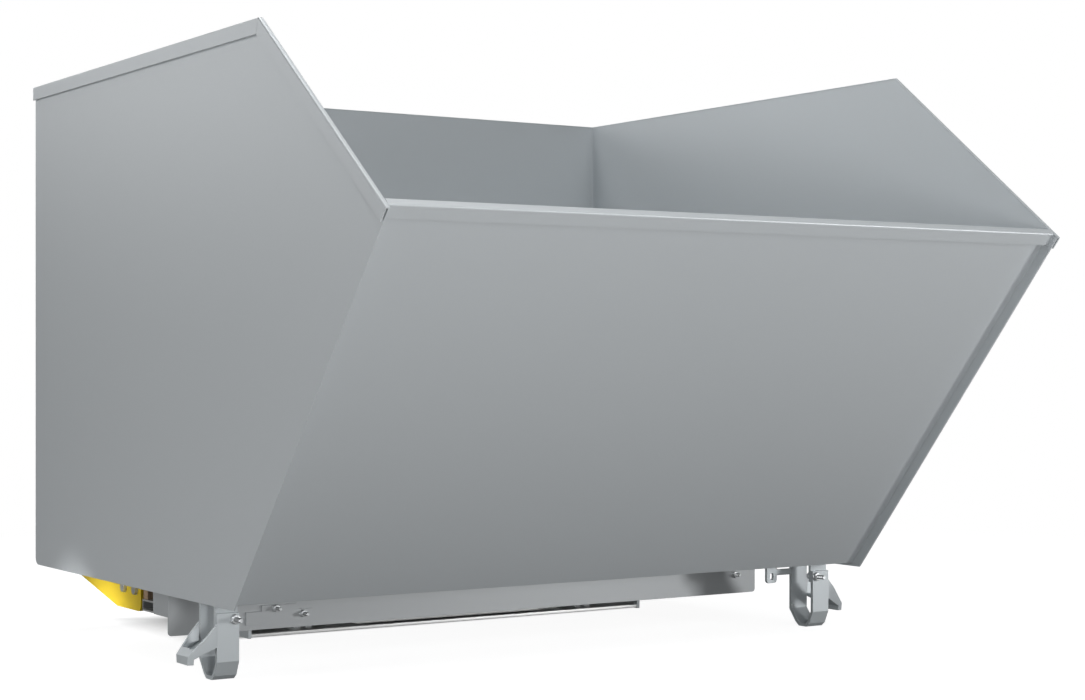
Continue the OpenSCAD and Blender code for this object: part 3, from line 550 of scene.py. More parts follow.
def coat_of_paint(name, colour, roughness=0.36, wear_and_sheen_share=0.6, wear_and_sheen_gain=1.45, peel=0.05, shine=0.4):
    """Satin powder coat: soft clouds, faint streaks, orange peel, and lighter edges that are partly
    wear, partly a painted highlight.
    """
    g = Graph(name)
    clouds = g.spread(g.noise(1.7, 4), 0.3, 0.7)
    streaks = g.spread(g.noise(5.0, 3, stretch=(3.0, 3.0, 0.35)), 0.35, 0.75)
    grain = g.spread(g.noise(130.0, 2), 0.3, 0.7)
    tone = g.blend(clouds, shade(colour, 0.96), shade(colour, 1.04))
    tone = g.blend(g.times(streaks, 0.10), tone, shade(colour, 0.86))
    tone = g.blend(g.times(grain, 0.12), tone, shade(colour, 1.12))
    # Marked edges are drawn lighter: partly wear, partly a painted highlight.
    edge = g.add("ShaderNodeAttribute", attribute_name="wear_and_sheen_edge").outputs["Fac"]
    chipped = g.spread(g.noise(45.0, 4, 0.6), 0.38, 0.62, 0.25, 1.0)
    edge = g.times(g.times(edge, chipped), wear_and_sheen_share)
    tone = g.blend(edge, tone, shade(colour, wear_and_sheen_gain))
    rub = g.spread(g.noise(9.0, 5, 0.6), 0.3, 0.7, roughness - 0.06, roughness + 0.08)
    peel_height = g.noise(700.0, 2)
    wave_height = g.noise(3.2, 2)
    normal = g.bump(wave_height, 0.10, 0.004)
    normal = g.bump(peel_height, peel, 0.0004, normal)
    return g.surface({"Base Color": tone, "Roughness": rub, "Normal": normal,
                      "Specular IOR Level": shine})


def galvanised_steel(name, colour):
    """Hot-dip zinc: clouded spangle, brighter and duller crystals, fine scratches, lighter edges
    that are partly wear and partly a painted highlight, and the slot walls in near-black painted
    shade.
    """
    g = Graph(name)
    cells = g.add("ShaderNodeTexVoronoi", {"Vector": g.place, "Scale": 70.0, "Randomness": 1.0})
    crystal = g.add("ShaderNodeSeparateColor", {"Color": cells.outputs["Color"]}).outputs["Red"]
    clouds = g.spread(g.noise(14.0, 4, 0.6), 0.3, 0.7)
    tone = g.blend(crystal, shade(colour, 0.88), shade(colour, 1.10))
    tone = g.blend(g.times(clouds, 0.35), tone, shade(colour, 0.80))
    # Marked edges 1.3 times lighter: partly wear, partly a painted highlight.
    edge = g.add("ShaderNodeAttribute", attribute_name="wear_and_sheen_edge").outputs["Fac"]
    tone = g.blend(g.times(edge, 0.5), tone, shade(colour, 1.3))
    # The marked walls of the beam's slot go almost black: painted shade.
    painted_slot_shade = g.add("ShaderNodeAttribute", attribute_name="painted_slot_shade").outputs["Fac"]
    tone = g.blend(painted_slot_shade, tone, shade(colour, 0.03))
    scratches = g.noise(60.0, 4, 0.6, stretch=(0.15, 6.0, 6.0))
    rough = g.plus(g.spread(crystal, 0.0, 1.0, 0.30, 0.42),
                   g.spread(scratches, 0.3, 0.7, -0.04, 0.04))
    normal = g.bump(crystal, 0.06, 0.0006)
    normal = g.bump(scratches, 0.08, 0.0004, normal)
    return g.surface({"Base Color": tone, "Metallic": 0.35, "Roughness": rough, "Normal": normal})


def plated_fasteners(name, colour):
    """Bright zinc plating with dull patches, tool marks and a painted highlight on the stud tips.
    """
    g = Graph(name)
    dull = g.spread(g.noise(70.0, 4, 0.6), 0.35, 0.7)
    tint = g.spread(g.noise(25.0, 2), 0.35, 0.65)
    tone = g.blend(dull, shade(colour, 1.08), shade(colour, 0.72))
    tone = g.blend(g.times(tint, 0.3), tone, (colour[0], colour[1] * 0.96, colour[2] * 0.84, 1))
    # Marked faces, the stud tips, are drawn 4 times lighter: a painted highlight.
    edge = g.add("ShaderNodeAttribute", attribute_name="wear_and_sheen_edge").outputs["Fac"]
    tone = g.blend(edge, tone, shade(colour, 4.0))
    rough = g.spread(dull, 0.0, 1.0, 0.30, 0.48)
    normal = g.bump(g.noise(420.0, 3), 0.10, 0.0003)
    return g.surface({"Base Color": tone, "Metallic": 0.8, "Roughness": rough, "Normal": normal})


def moulded_rubber(name, colour):
    """Dull moulded rubber with bloom and dust in its pores."""
    g = Graph(name)
    bloom = g.spread(g.noise(16.0, 5, 0.6), 0.3, 0.72)
    speck = g.spread(g.noise(260.0, 2), 0.45, 0.7)
    tone = g.blend(bloom, shade(colour, 0.85), shade(colour, 1.25))
    tone = g.blend(g.times(speck, 0.3), tone, shade(colour, 1.7))
    normal = g.bump(g.noise(300.0, 3), 0.3, 0.0005)
    rough = g.spread(bloom, 0.0, 1.0, 0.62, 0.82)
    return g.surface({"Base Color": tone, "Roughness": rough, "Normal": normal})


def coat(key):
    """The material for a slot.

    Loading the frame already makes a plain material under each slot's name. It is found and
    returned here, so the finishes below are never made and their colours have no effect. The
    mend, a name of its own for each finish, has to be followed by a new fit of the colours and
    the lamps, which were fitted to the plain materials.
    """
    made = bpy.data.materials.get(key)
    if made:
        return made
    c = colours()
    if key == "bin_steel":
        return coat_of_paint(key, c.bin_coat)
    if key == "frame_steel":
        return coat_of_paint(key, c.frame_coat, roughness=0.42, wear_and_sheen_share=0.9, wear_and_sheen_gain=2.8)
    if key == "foot_steel":
        return coat_of_paint(key, c.foot_coat, roughness=0.34, wear_and_sheen_share=1.0, wear_and_sheen_gain=2.6, shine=0.3)
    if key == "lever_paint":
        return coat_of_paint(key, c.lever_coat, roughness=0.30, wear_and_sheen_share=0.5, wear_and_sheen_gain=1.1, shine=0.15)
    if key == "galvanised":
        return galvanised_steel(key, c.galvanised)
    if key == "zinc_fasteners":
        return plated_fasteners(key, c.fasteners)
    if key == "buffer_rubber":
        return moulded_rubber(key, c.buffer_rubber)
    raise RuntimeError(f"no finish is known for {key}")


# What the bends of each kind of piece have in common

def outer_rim_bend(middle, along, normals):
    """The bend between a side rim's flange and its web."""
    return (len(normals) == 2
            and any(n.x * middle.x > 0 and abs(n.x) > 0.99 for n in normals)
            and any(n.z > 0.5 and abs(n.x) < 0.1 for n in normals)
            and abs(middle.x) > 0.8)


def tube_corner(axis):
    """The long corners of a tube or channel that runs along an axis."""
    def test(middle, along, normals):
        return (abs(getattr(along, axis)) > 0.99 and len(normals) == 2
                and abs(normals[0].dot(normals[1])) < 0.1)
    return test


class HOPPER_OT_stage(Operator):
    """Sets up the floor, the soft studio light and the camera"""

    bl_idname = "hopper.stage"
    bl_label = "Studio"

    def execute(self, context):
        self.add_camera()
        self.add_world()
        self.add_floor()
        self.add_lamp("top", (0.2, -1.4, 4.4), (0.0, -0.2, 0.8), 3.4, 61)
        self.add_lamp("top_back", (-0.5, 1.6, 4.4), (0.0, 0.0, 0.8), 2.4, 96)
        self.add_lamp("front", (0.3, -3.2, 1.0), (0.2, -0.8, 0.7), 1.8, 15)
        self.add_lamp("low_front_left", (-1.4, -3.1, 0.35), (-0.2, -0.4, 0.2), 0.6, 27)
        self.add_lamp("low_front_right", (2.2, -2.9, 0.35), (0.2, -0.4, 0.2), 0.6, 30)
        self.add_lamp("low_left", (-3.6, 0.0, 0.45), (-0.8, 0.3, 0.2), 0.8, 28)
        self.add_lamp("back", (-3.0, 4.0, 2.4), (-0.8, 0.3, 1.1), 2.2, 26)
        self.add_lamp("lever", (-2.75, 0.9, 0.12), (-0.73, 0.6, 0.0), 0.16, 0.3, 9)
        context.scene.view_settings.view_transform = "Standard"
        return {"FINISHED"}

    def add_camera(self):
        bpy.ops.object.camera_add(location=(-2.5199, -3.9923, 0.6396),
                                  rotation=(math.radians(90), 0.0, math.radians(-33.0)))
        camera = bpy.context.active_object
        camera.data.lens = 70.04
        camera.data.sensor_width = 36.0
        camera.data.shift_y = 0.00724
        camera.data.clip_end = 60.0
        bpy.context.scene.camera = camera

    def add_world(self):
        world = bpy.context.scene.world or bpy.data.worlds.new("studio")
        bpy.context.scene.world = world
        world.use_nodes = True
        tree = world.node_tree
        tree.nodes.clear()
        path = tree.nodes.new("ShaderNodeLightPath")
        seen = tree.nodes.new("ShaderNodeMath")
        seen.operation = "MAXIMUM"
        tree.links.new(path.outputs["Is Camera Ray"], seen.inputs[0])
        tree.links.new(path.outputs["Is Transmission Ray"], seen.inputs[1])
        light = tree.nodes.new("ShaderNodeBackground")
        light.inputs["Color"].default_value = (0.93, 0.97, 1.0, 1.0)
        light.inputs["Strength"].default_value = 0.1
        white = tree.nodes.new("ShaderNodeBackground")
        white.inputs["Color"].default_value = (1.0, 1.0, 1.0, 1.0)
        mix = tree.nodes.new("ShaderNodeMixShader")
        tree.links.new(seen.outputs[0], mix.inputs[0])
        tree.links.new(light.outputs[0], mix.inputs[1])
        tree.links.new(white.outputs[0], mix.inputs[2])
        output = tree.nodes.new("ShaderNodeOutputWorld")
        tree.links.new(mix.outputs[0], output.inputs["Surface"])

    def add_floor(self):
        bpy.ops.mesh.primitive_circle_add(vertices=96, radius=9.0, fill_type="NGON",
                                          location=(0.0, 0.0, 0.0))
        floor = bpy.context.active_object
        floor.name = "studio_floor"
        g = Graph("studio_floor")
        floor_colour = (*colours().floor, 1.0)
        path = g.add("ShaderNodeLightPath")
        seen = g.add("ShaderNodeMath", {0: path.outputs["Is Camera Ray"],
                                        1: path.outputs["Is Transmission Ray"]},
                     operation="MAXIMUM").outputs[0]
        reach = g.add("ShaderNodeVectorMath", {0: g.place}, operation="LENGTH").outputs["Value"]
        far = g.spread(reach, 1.5, 3.4)
        # Under the middle of the base the floor's glow is lowered: a painted shadow.
        lie = g.add("ShaderNodeSeparateXYZ", {0: g.place})
        across = g.add("ShaderNodeMath", {0: lie.outputs["X"]}, operation="ABSOLUTE").outputs[0]
        outside_painted_shadow = g.spread(across, 0.40, 0.62)
        for low, high in ((0.45, 0.40), (0.78, 0.95)):
            edge = g.spread(lie.outputs["Y"], low, high)
            outside_painted_shadow = g.add("ShaderNodeMath", {0: outside_painted_shadow, 1: edge},
                               operation="MAXIMUM").outputs[0]
        grain = g.spread(g.noise(3.0, 4), 0.3, 0.7)
        tone = g.blend(g.times(grain, 0.06), floor_colour, (0.5, 0.5, 0.5, 1.0))
        matte = g.add("ShaderNodeBsdfDiffuse", {"Color": tone}).outputs[0]
        pale = g.add("ShaderNodeBsdfDiffuse", {"Color": (0.30, 0.30, 0.30, 1.0)}).outputs[0]
        glow = g.add("ShaderNodeEmission", {"Color": (1.0, 1.0, 1.0, 1.0),
                                            "Strength": g.times(outside_painted_shadow, 0.93)}).outputs[0]
        white = g.add("ShaderNodeEmission", {"Color": (1.0, 1.0, 1.0, 1.0),
                                             "Strength": 1.0}).outputs[0]
        near = g.add("ShaderNodeAddShader", {0: pale, 1: glow}).outputs[0]
        shown = g.add("ShaderNodeMixShader", {0: far, 1: near, 2: white}).outputs[0]
        both = g.add("ShaderNodeMixShader", {0: seen, 1: matte, 2: shown}).outputs[0]
        g.add("ShaderNodeOutputMaterial", {"Surface": both})
        floor.data.materials.append(g.material)

    def add_lamp(self, name, place, aim, size, power, spread=180):
        turn = (Vector(aim) - Vector(place)).to_track_quat("-Z", "Y").to_euler()
        bpy.ops.object.light_add(type="AREA", location=place, rotation=turn)
        lamp = bpy.context.active_object
        lamp.name = name + "_lamp"
        lamp.data.shape = "DISK"
        lamp.data.size = size
        lamp.data.energy = power
        lamp.data.spread = math.radians(spread)
        lamp.visible_camera = False


class HOPPER_OT_bin_sheets(Operator):
    """Finishes the floor, front, back and side sheets of the bin"""

    bl_idname = "hopper.bin_sheets"
    bl_label = "Bin sheets"

    def execute(self, context):
        for node in ("floor_sheet", "front_sheet", "back_sheet", "left_side_sheet",
                     "right_side_sheet"):
            dressed(node, sizes().sheet_edge)
        return {"FINISHED"}


class HOPPER_OT_rims(Operator):
    """Folds the rims round the top of the bin"""

    bl_idname = "hopper.rims"
    bl_label = "Rims"

    def execute(self, context):
        s = sizes()
        for node in ("left_top_rim", "right_top_rim", "left_mouth_rim", "right_mouth_rim"):
            dressed(node, s.sheet_edge, outer_rim_bend, s.rim_bend)
        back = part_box("back_rim")[1]
        dressed("back_rim", s.sheet_edge,
                lambda m, a, n: abs(a.x) > 0.9 and m.y > back.y - 1e-4 and m.z > back.z - 1e-4,
                s.rim_bend)
        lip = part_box("lip_rim")[0]
        dressed("lip_rim", s.sheet_edge,
                lambda m, a, n: abs(a.x) > 0.9 and m.y < lip.y + 1e-4, s.rim_bend)
        return {"FINISHED"}


class HOPPER_OT_skirt(Operator):
    """Finishes the skirt, its end plates and bracket, the hinge cheeks and the stiffeners"""

    bl_idname = "hopper.skirt"
    bl_label = "Skirt and stiffeners"

    def execute(self, context):
        s = sizes()
        for node in ("skirt_plate", "left_end_plate", "right_end_plate",
                     "left_hinge_cheek", "right_hinge_cheek", "striker_plates"):
            dressed(node, s.plate_edge)
        bracket = dressed("skirt_bracket", s.plate_edge * 1.6)
        # Top faces of the bracket are marked lighter: a painted highlight.
        mark_painted_highlight(bracket, lambda middle, normal: normal.z > 0.3)
        for node in ("left_outer_stiffener", "left_inner_stiffener", "right_inner_stiffener",
                     "right_outer_stiffener"):
            dressed(node, s.sheet_edge, tube_corner("y"), STIFFENER_BEND)
        return {"FINISHED"}


class HOPPER_OT_feet(Operator):
    """Finishes the bent feet, their ears and lugs, and the eye lug"""

    bl_idname = "hopper.feet"
    bl_label = "Feet"

    def execute(self, context):
        s = sizes()
        for side in ("left", "right"):
            loop = dressed(side + "_foot_loop", s.plate_edge,
                           lambda m, a, n: abs(a.x) > 0.99 and len(n) == 2
                           and 0.3 < n[0].dot(n[1]) < 0.97,
                           s.bar_bend, self.draw_toes_in)
            # The toes' downward bevel is marked lighter: a painted highlight.
            mark_painted_highlight(loop, lambda m, n: m.z < TOE_HIGHLIGHT_Z and n.y < -0.5 and n.z < -0.1)
            ear = dressed(side + "_foot_ear", s.plate_edge)
            low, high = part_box(side + "_foot_ear")
            # Top edges of the ear's ribs are marked lighter: a painted highlight.
            mark_painted_highlight(ear, lambda m, n: n.z > 0.2
                      and min(m.y - low.y, high.y - m.y) < EAR_RIB_EDGE)
            dressed(side + "_foot_lug", s.plate_edge)
        dressed("eye_lug", s.plate_edge)
        return {"FINISHED"}

    def draw_toes_in(self, piece):
        """Draws the lowest part of both legs together, as the bar is bent towards the sole."""
        low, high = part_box("left_foot_loop")
        middle = (low.y + high.y) / 2
        edit(piece)
        bpy.ops.mesh.select_all(action="SELECT")
        bpy.ops.mesh.bisect(plane_co=(0, 0, TOE_BEND_Z), plane_no=(0, 0, 1))
        for side in (-1, 1):
            bpy.ops.mesh.select_all(action="DESELECT")
            bpy.ops.mesh.select_mode(type="VERT")
            mesh = bmesh.from_edit_mesh(piece.data)
            for vert in mesh.verts:
                vert.select_set(vert.co.z < TOE_LOW_Z and (vert.co.y - middle) * side > 0)
            bmesh.update_edit_mesh(piece.data)
            bpy.ops.transform.translate(value=(0, -side * TOE_DRAW, 0))
        leave_edit()


class HOPPER_OT_tail_bolts(Operator):
    """Makes the bolts whose threaded tails stand out of the feet and the skirt, and the rivets"""

    bl_idname = "hopper.tail_bolts"
    bl_label = "Foot and skirt bolts"

    def execute(self, context):
        self.foot_bolts()
        self.skirt_bolts()
        return {"FINISHED"}

    def tail_bolt(self, diameter, grip, out):
        """Head and washer at the foot, then the grip, then washer, nut and bare thread."""
        ring = sizes().washer
        flats = BOLT_FLATS * diameter
        bore, rim = diameter * WASHER_BORE, flats * WASHER_RIM
        clamp = BOLT_HEAD + grip
        return joined("tail_bolt", [
            stud(diameter / 2, ring, clamp, clamp + out),
            hexagon(flats, 0, BOLT_HEAD - ring),
            washer(bore, rim, BOLT_HEAD - ring, BOLT_HEAD),
            washer(bore, rim, clamp, clamp + ring),
            hexagon(flats, clamp + ring, clamp + BOLT_HEAD)])

    def foot_bolts(self):
        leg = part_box("left_foot_loop")[0].y
        pieces = []
        bolt = rivet = None
        for low, high in solids_of("foot_bolts"):
            middle = (low + high) / 2
            if high.y - low.y > 0.03:
                bolt = bolt or self.tail_bolt((high.x - low.x) / HEX_CORNER / BOLT_FLATS,
                                              high.y - BOLT_HEAD - leg, leg - low.y)
                pieces.append(placed(bolt, (middle.x, high.y, middle.z), (0, -1, 0)))
            else:
                rivet = rivet or self.rivet((high.z - low.z) / 2, high.y - low.y)
                pieces.append(placed(rivet, (middle.x, low.y, middle.z), (0, 1, 0)))
        for master in (bolt, rivet):
            bpy.data.objects.remove(master)
        piece = joined("foot_bolts_finished", pieces)
        smooth(piece)
        settle(piece, "foot_bolts")

    def rivet(self, radius, length):
        """A domed head at the foot and a smaller formed head at the far end."""
        shank = radius * 0.62
        return turned("rivet", [
            (0, 0), (radius * 0.45, 0.0003), (radius * 0.8, 0.0014), (radius, 0.0033),
            (radius * 0.97, 0.0040), (shank, 0.0040), (shank, length - 0.0034),
            (radius * 0.72, length - 0.0030), (radius * 0.6, length - 0.0008), (0, length)], 28)

    def skirt_bolts(self):
        faces = {True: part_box("skirt_bracket")[0].y, False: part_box("skirt_plate")[0].y}
        pieces, masters = [], {}
        for low, high in solids_of("skirt_bolts"):
            middle = (low + high) / 2
            face = faces[middle.x < 0]
            if face not in masters:
                masters[face] = self.tail_bolt((high.x - low.x) / HEX_CORNER / BOLT_FLATS,
                                               high.y - BOLT_HEAD - face, face - low.y)
            pieces.append(placed(masters[face], (middle.x, high.y, middle.z), (0, -1, 0)))
        for master in masters.values():
            bpy.data.objects.remove(master)
        piece = joined("skirt_bolts_finished", pieces)
        smooth(piece)
        settle(piece, "skirt_bolts")


class HOPPER_OT_pins(Operator):
    """Makes the hinge pins, the lever's bolts, the collars and their nuts and washers"""

    bl_idname = "hopper.pins"
    bl_label = "Pins, lever bolts and collars"

    def execute(self, context):
        self.lever_bolts()
        self.hinge_pins()
        self.collars()
        dressed("striker_bar", sizes().sheet_edge)
        return {"FINISHED"}

    def group(self, node, build, foot, along):
        """Builds one part for a node and puts a copy at each of its solids."""
        pieces, master = [], None
        for low, high in solids_of(node):
            master = master or build(low, high)
            pieces.append(placed(master, foot(low, high), along(low, high)))
        bpy.data.objects.remove(master)
        piece = joined(node + "_finished", pieces)
        smooth(piece)
        settle(piece, node)

    def lever_bolts(self):
        ring = sizes().washer

        def disc(flats, low, high):
            return washer(flats * 0.31, flats * WASHER_RIM, low, high)

        def bolt(low, high):
            flats, length = high.y - low.y, high.x - low.x
            return joined("bolt", [
                stud(flats / BOLT_FLATS / 2, ring, length * 0.5, length, 0.00175),
                hexagon(flats, 0, BOLT_HEAD - ring),
                disc(flats, BOLT_HEAD - ring, BOLT_HEAD)])

        def nut(low, high):
            flats = high.y - low.y
            return joined("nut", [disc(flats, 0, ring), hexagon(flats, ring, high.x - low.x)])

        def foot(low, high):
            return (low.x, (low.y + high.y) / 2, (low.z + high.z) / 2)

        self.group("lever_bolts", bolt, foot, lambda low, high: (1, 0, 0))
        self.group("lever_nuts", nut, foot, lambda low, high: (1, 0, 0))

    def hinge_pins(self):
        def outer(low, high):
            return (low.x if low.x < 0 else high.x, (low.y + high.y) / 2, (low.z + high.z) / 2)

        def inward(low, high):
            return (-math.copysign(1, low.x), 0, 0)

        def pin(low, high):
            length = high.x - low.x
            head = (high.z - low.z) / 2
            shank = head - 0.008
            return turned("pin", [
                (0, 0.0016), (0.0032, 0.0016), (0.0032, 0.0), (head - 0.0015, 0.0),
                (head, 0.0015), (head, 0.0068), (head - 0.0012, 0.008), (shank, 0.008),
                (shank, length - 0.026)] + thread(shank, length - 0.026, length - 0.003, 0.002)
                + [(shank - 0.003, length), (0, length)], 48)

        self.group("pivot_pins", pin, outer, inward)
        self.group("pivot_nuts", lambda low, high: hexagon(high.y - low.y, 0, high.x - low.x),
                   outer, inward)
        self.group("pivot_washers",
                   lambda low, high: washer((high.z - low.z) / 2 - 0.0079, (high.z - low.z) / 2,
                                            0, high.x - low.x), outer, inward)

    def collars(self):
        def collar(low, high):
            wide = high.x - low.x
            outer = (high.z - low.z) / 2
            inner = outer - 0.004
            ring = turned("collar", [
                (inner, 0), (outer - 0.001, 0), (outer, 0.001), (outer, wide - 0.001),
                (outer - 0.001, wide), (inner, wide), (inner, 0)], 48)
            screw = turned("set_screw", [
                (0, 0.001), (0.0013, 0.001), (0.0013, 0.0022), (0.0024, 0.0022),
                (0.003, 0.0016), (0.003, -0.001), (0, -0.001)], 24)
            set_screw = placed(screw, (outer, 0, wide / 2), (1, 0, 0))
            bpy.data.objects.remove(screw)
            return joined("collar", [ring, set_screw])

        self.group("shaft_collars", collar,
                   lambda low, high: (low.x, (low.y + high.y) / 2, (low.z + high.z) / 2),
                   lambda low, high: (1, 0, 0))


class HOPPER_OT_base(Operator):
    """Finishes the fork pockets, the beams, the channel, the hinge lugs and the skids"""

    bl_idname = "hopper.base"
    bl_label = "Base"

    def execute(self, context):
        s = sizes()
        for side in ("left", "right"):
            dressed(side + "_fork_pocket", s.plate_edge, tube_corner("y"), s.tube_bend * 0.8)
            dressed(side + "_pivot_lugs", s.plate_edge)
            dressed(side + "_skid", s.plate_edge)
        beam = dressed("front_beam", s.plate_edge)
        # The walls of the beam's slot get painted shade.
        self.paint_slot_shade(beam)
        dressed("beam_end_caps", s.plate_edge)
        dressed("rear_beam", s.sheet_edge, tube_corner("x"), s.tube_bend * 0.6)
        dressed("cross_channel", s.sheet_edge, tube_corner("x"), CHANNEL_BEND)
        dressed("shaft_bearings", s.plate_edge)
        dressed("outer_bearing", s.plate_edge)
        return {"FINISHED"}

    def paint_slot_shade(self, beam):
        """Marks the walls of the slot to be drawn near black: painted shade."""
        low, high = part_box("front_beam")
        painted_slot_shade = beam.data.attributes.new("painted_slot_shade", "FLOAT", "FACE")
        for face, value in zip(beam.data.polygons, painted_slot_shade.data):
            middle, normal = face.center, face.normal
            inside = (low.x + SLOT_ENDS < middle.x < high.x - SLOT_ENDS
                      and low.y + SLOT_FRONT < middle.y < high.y - SLOT_BACK)
            value.value = 1.0 if inside and abs(normal.z) < 0.3 else 0.0


class HOPPER_OT_buffers(Operator):
    """Finishes the two moulded rest buffers"""

    bl_idname = "hopper.buffers"
    bl_label = "Rest buffers"

    def execute(self, context):
        for node in ("left_buffer", "right_buffer"):
            dressed(node, sizes().buffer_edge, shape=self.sink_panels)
        return {"FINISHED"}

    def sink_panels(self, piece):
        """Sinks a shallow panel into each upright face, as the mould leaves it."""
        edit(piece)
        bpy.ops.mesh.select_mode(type="FACE")
        select_faces(piece, lambda middle, normal: abs(normal.z) < 0.1)
        bpy.ops.mesh.inset(thickness=PANEL_INSET, depth=-PANEL_DEPTH, use_individual=True)
        leave_edit()


class HOPPER_OT_latch(Operator):
    """Finishes the latch shaft, the hook, the flange and the release lever"""

    bl_idname = "hopper.latch"
    bl_label = "Latch"

    def execute(self, context):
        s = sizes()
        dressed("latch_shaft", s.plate_edge)
        dressed("latch_hook", s.plate_edge)
        dressed("lever_flange", s.plate_edge)
        dressed("release_lever", s.lever_edge)
        return {"FINISHED"}


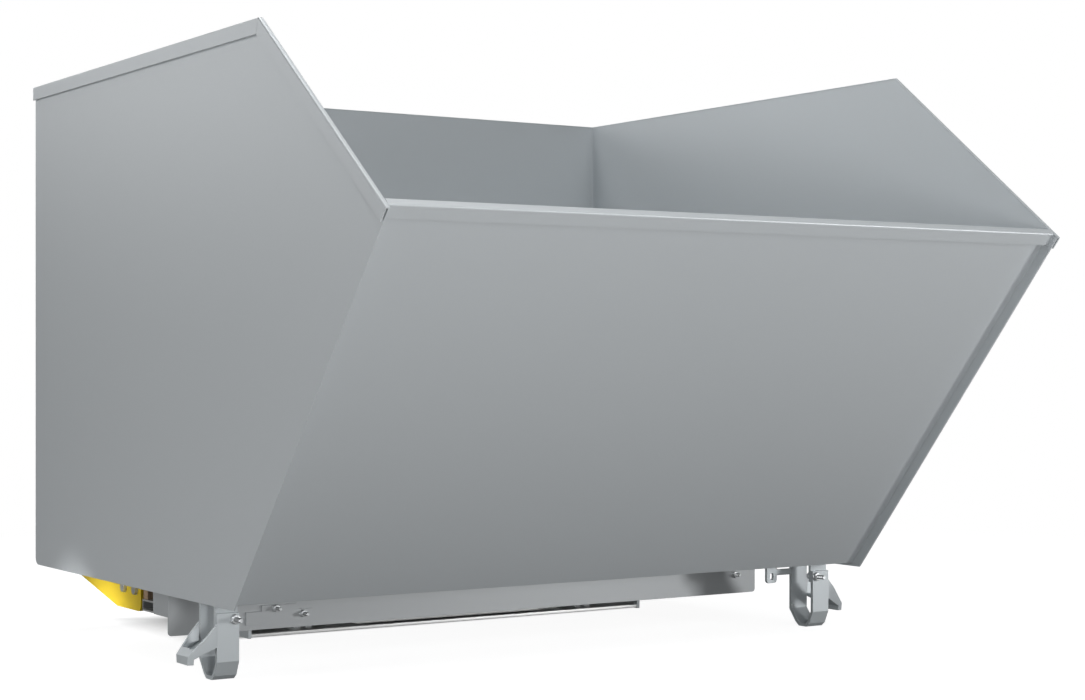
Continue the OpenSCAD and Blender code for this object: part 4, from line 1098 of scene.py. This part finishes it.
class HOPPER_OT_welds(Operator):
    """Lays the weld beads of the bin, the base and the latch"""

    bl_idname = "hopper.welds"
    bl_label = "Weld beads"

    def execute(self, context):
        self.size = sizes().bead
        welded("bin_weld_beads", "bin", "bin_steel", self.inside_bin())
        welded("underside_weld_beads", "bin", "frame_steel", self.under_bin())
        welded("base_weld_beads", "base", "frame_steel", self.on_base())
        welded("latch_weld_beads", "latch", "frame_steel", self.on_latch())
        return {"FINISHED"}

    def inside_bin(self):
        """Beads along the seams that the bin's sheets make with each other."""
        r = self.size * 0.9
        floor_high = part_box("floor_sheet")[1]
        front_low, front_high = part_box("front_sheet")
        back_low, back_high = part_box("back_sheet")
        x, z = floor_high.x, floor_high.z
        slope = Vector((0, front_low.y - front_high.y, front_high.z - front_low.z)).normalized()
        foot = Vector((0, front_high.y, front_low.z))
        foot += slope * ((z - foot.z) / slope.z)
        top = Vector((0, front_low.y, front_high.z)) + Vector((0, 0.0030, -0.0035))
        seams = [bead((-x, foot.y, z), (x, foot.y, z), r),
                 bead((-x, back_low.y, z), (x, back_low.y, z), r)]
        for side in (-x, x):
            seams += [bead((side, foot.y, z), (side, back_low.y, z), r),
                      bead((side, back_low.y, z), (side, back_low.y, back_high.z - 0.004), r),
                      bead((side, foot.y, foot.z), (side, top.y, top.z), r)]
        return seams

    def under_bin(self):
        """Beads that hold the skirt, the feet, the cheeks and the stiffeners."""
        r = self.size
        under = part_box("floor_sheet")[0].z
        low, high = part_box("skirt_plate")
        seams = []
        for y in (low.y, high.y):
            seams += stitches((low.x + 0.01, y, under), (high.x - 0.01, y, under), r)
        for side, hand in (("left", -1), ("right", 1)):
            seams += self.foot_seams(side, hand, under, r)
            low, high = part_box(side + "_end_plate")
            inner = high.x if hand < 0 else low.x
            seams.append(bead((inner, low.y, low.z + 0.004), (inner, low.y, under), r))
            seams += stitches((inner, low.y + 0.005, under), (inner, high.y - 0.005, under), r,
                              0.03, 0.02)
            low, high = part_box(side + "_hinge_cheek")
            for x in (low.x, high.x):
                seams.append(bead((x, low.y, under), (x, high.y - 0.004, under), r * 1.3))
                seams.append(bead((x, low.y, low.z + 0.04), (x, low.y, under), r * 1.3))
            for place in ("outer", "inner"):
                low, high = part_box(side + "_" + place + "_stiffener")
                for x in (low.x, high.x):
                    seams += stitches((x, low.y + 0.004, under), (x, high.y - 0.004, under), r)
        low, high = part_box("eye_lug")
        for y in (low.y, high.y):
            seams.append(bead((low.x + 0.002, y, under), (low.x + 0.029, y, under), r))
        for low, high in solids_of("striker_plates"):
            for x in (low.x, high.x):
                seams.append(bead((x, low.y + 0.002, under), (x, high.y - 0.002, under), r))
        return seams

    def foot_seams(self, side, hand, under, r):
        seams = []
        low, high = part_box(side + "_foot_loop")
        seams.append(bead((low.x + 0.003, high.y, under), (high.x - 0.003, high.y, under), r))
        leg = high.x if hand > 0 else low.x
        low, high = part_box(side + "_foot_lug")
        for y in (low.y, high.y):
            seams.append(bead((low.x + 0.003, y, under), (high.x - 0.003, y, under), r))
        low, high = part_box(side + "_foot_ear")
        for y in (low.y + EAR_RIB, high.y - EAR_RIB):
            seams.append(bead((leg, y, high.z - 0.036), (leg, y, high.z - 0.007), r * 0.8))
        return seams

    def on_base(self):
        """Beads that hold the beams, the lugs, the channel, the bearings and the skids."""
        r = self.size * 1.2
        beam_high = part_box("front_beam")[1]
        channel_low, channel_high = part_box("cross_channel")
        rear_low, rear_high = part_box("rear_beam")
        seams = []
        for side in ("left", "right"):
            low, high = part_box(side + "_fork_pocket")
            top = high.z
            seams.append(bead((low.x + 0.003, low.y, beam_high.z),
                              (high.x - 0.003, low.y, beam_high.z), r))
            seams.append(bead((low.x + 0.004, low.y, top), (high.x - 0.004, low.y, top), r))
            for y in (channel_high.y, rear_low.y, rear_high.y):
                seams.append(bead((low.x + 0.006, y, top), (high.x - 0.006, y, top), r))
            skid_low, skid_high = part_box(side + "_skid")
            for skid_x in (skid_low.x, skid_high.x):
                seams += stitches((skid_x, skid_low.y + 0.01, low.z),
                                  (skid_x, skid_high.y - 0.01, low.z), r)
        for node in ("left_pivot_lugs", "right_pivot_lugs"):
            for low, high in solids_of(node):
                for x in (low.x, high.x):
                    seams.append(bead((x, high.y - 0.033, beam_high.z),
                                      (x, high.y - 0.001, beam_high.z), r))
                    seams.append(bead((x, high.y, channel_low.z + 0.001),
                                      (x, high.y, channel_high.z), r))
        for low, high in solids_of("shaft_bearings"):
            for y in (low.y, high.y):
                seams.append(bead((low.x + 0.002, y, low.z), (high.x - 0.002, y, low.z), r))
        low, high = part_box("outer_bearing")
        for x in (low.x, high.x):
            seams.append(bead((x, low.y, low.z + 0.002), (x, low.y, channel_high.z - 0.002), r))
        for low, high in solids_of("beam_end_caps"):
            inner = high.x if low.x < 0 else low.x
            seams += stitches((inner, low.y + 0.012, beam_high.z),
                              (inner, high.y - 0.004, beam_high.z), r * 0.8, 0.02, 0.015)
        return seams

    def on_latch(self):
        """Beads round the shaft, at the hook and at the flange."""
        low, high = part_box("latch_shaft")
        middle = (low + high) / 2
        radius = (high.z - low.z) / 2
        hook_low, hook_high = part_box("latch_hook")
        seams = []
        for x in (hook_low.x, hook_high.x, low.x):
            ring = turned("ring_bead", [
                (radius + RING_BEAD * math.cos(a), RING_BEAD * math.sin(a))
                for a in (math.pi * i / 4 for i in range(9))], steps=24)
            seams.append(placed(ring, (x, middle.y, middle.z), (1, 0, 0)))
            bpy.data.objects.remove(ring)
        return seams


class HOPPER_PT_panel(Panel):
    """Lists the sizes, the colours and the pieces"""

    bl_idname = "HOPPER_PT_panel"
    bl_label = "Self-dumping hopper"
    bl_space_type = "VIEW_3D"
    bl_region_type = "UI"
    bl_category = "Hopper"

    def draw(self, context):
        for group in (context.scene.hopper_sizes, context.scene.hopper_colours):
            box = self.layout.box()
            for key in group.__annotations__:
                box.prop(group, key)
        for operator in STEPS:
            self.layout.operator(operator.bl_idname)


STEPS = (HOPPER_OT_stage, HOPPER_OT_bin_sheets, HOPPER_OT_rims, HOPPER_OT_skirt, HOPPER_OT_feet,
         HOPPER_OT_tail_bolts, HOPPER_OT_pins, HOPPER_OT_base, HOPPER_OT_buffers,
         HOPPER_OT_latch, HOPPER_OT_welds)
CLASSES = (HopperSizes, HopperColours, *STEPS, HOPPER_PT_panel)


def register():
    for cls in CLASSES:
        bpy.utils.register_class(cls)
    bpy.types.Scene.hopper_sizes = PointerProperty(type=HopperSizes)
    bpy.types.Scene.hopper_colours = PointerProperty(type=HopperColours)


def unregister():
    del bpy.types.Scene.hopper_colours
    del bpy.types.Scene.hopper_sizes
    for cls in reversed(CLASSES):
        bpy.utils.unregister_class(cls)


def main():
    register()
    for operator in STEPS:
        group, name = operator.bl_idname.split(".")
        getattr(getattr(bpy.ops, group), name)()


if __name__ == "__main__":
    main()
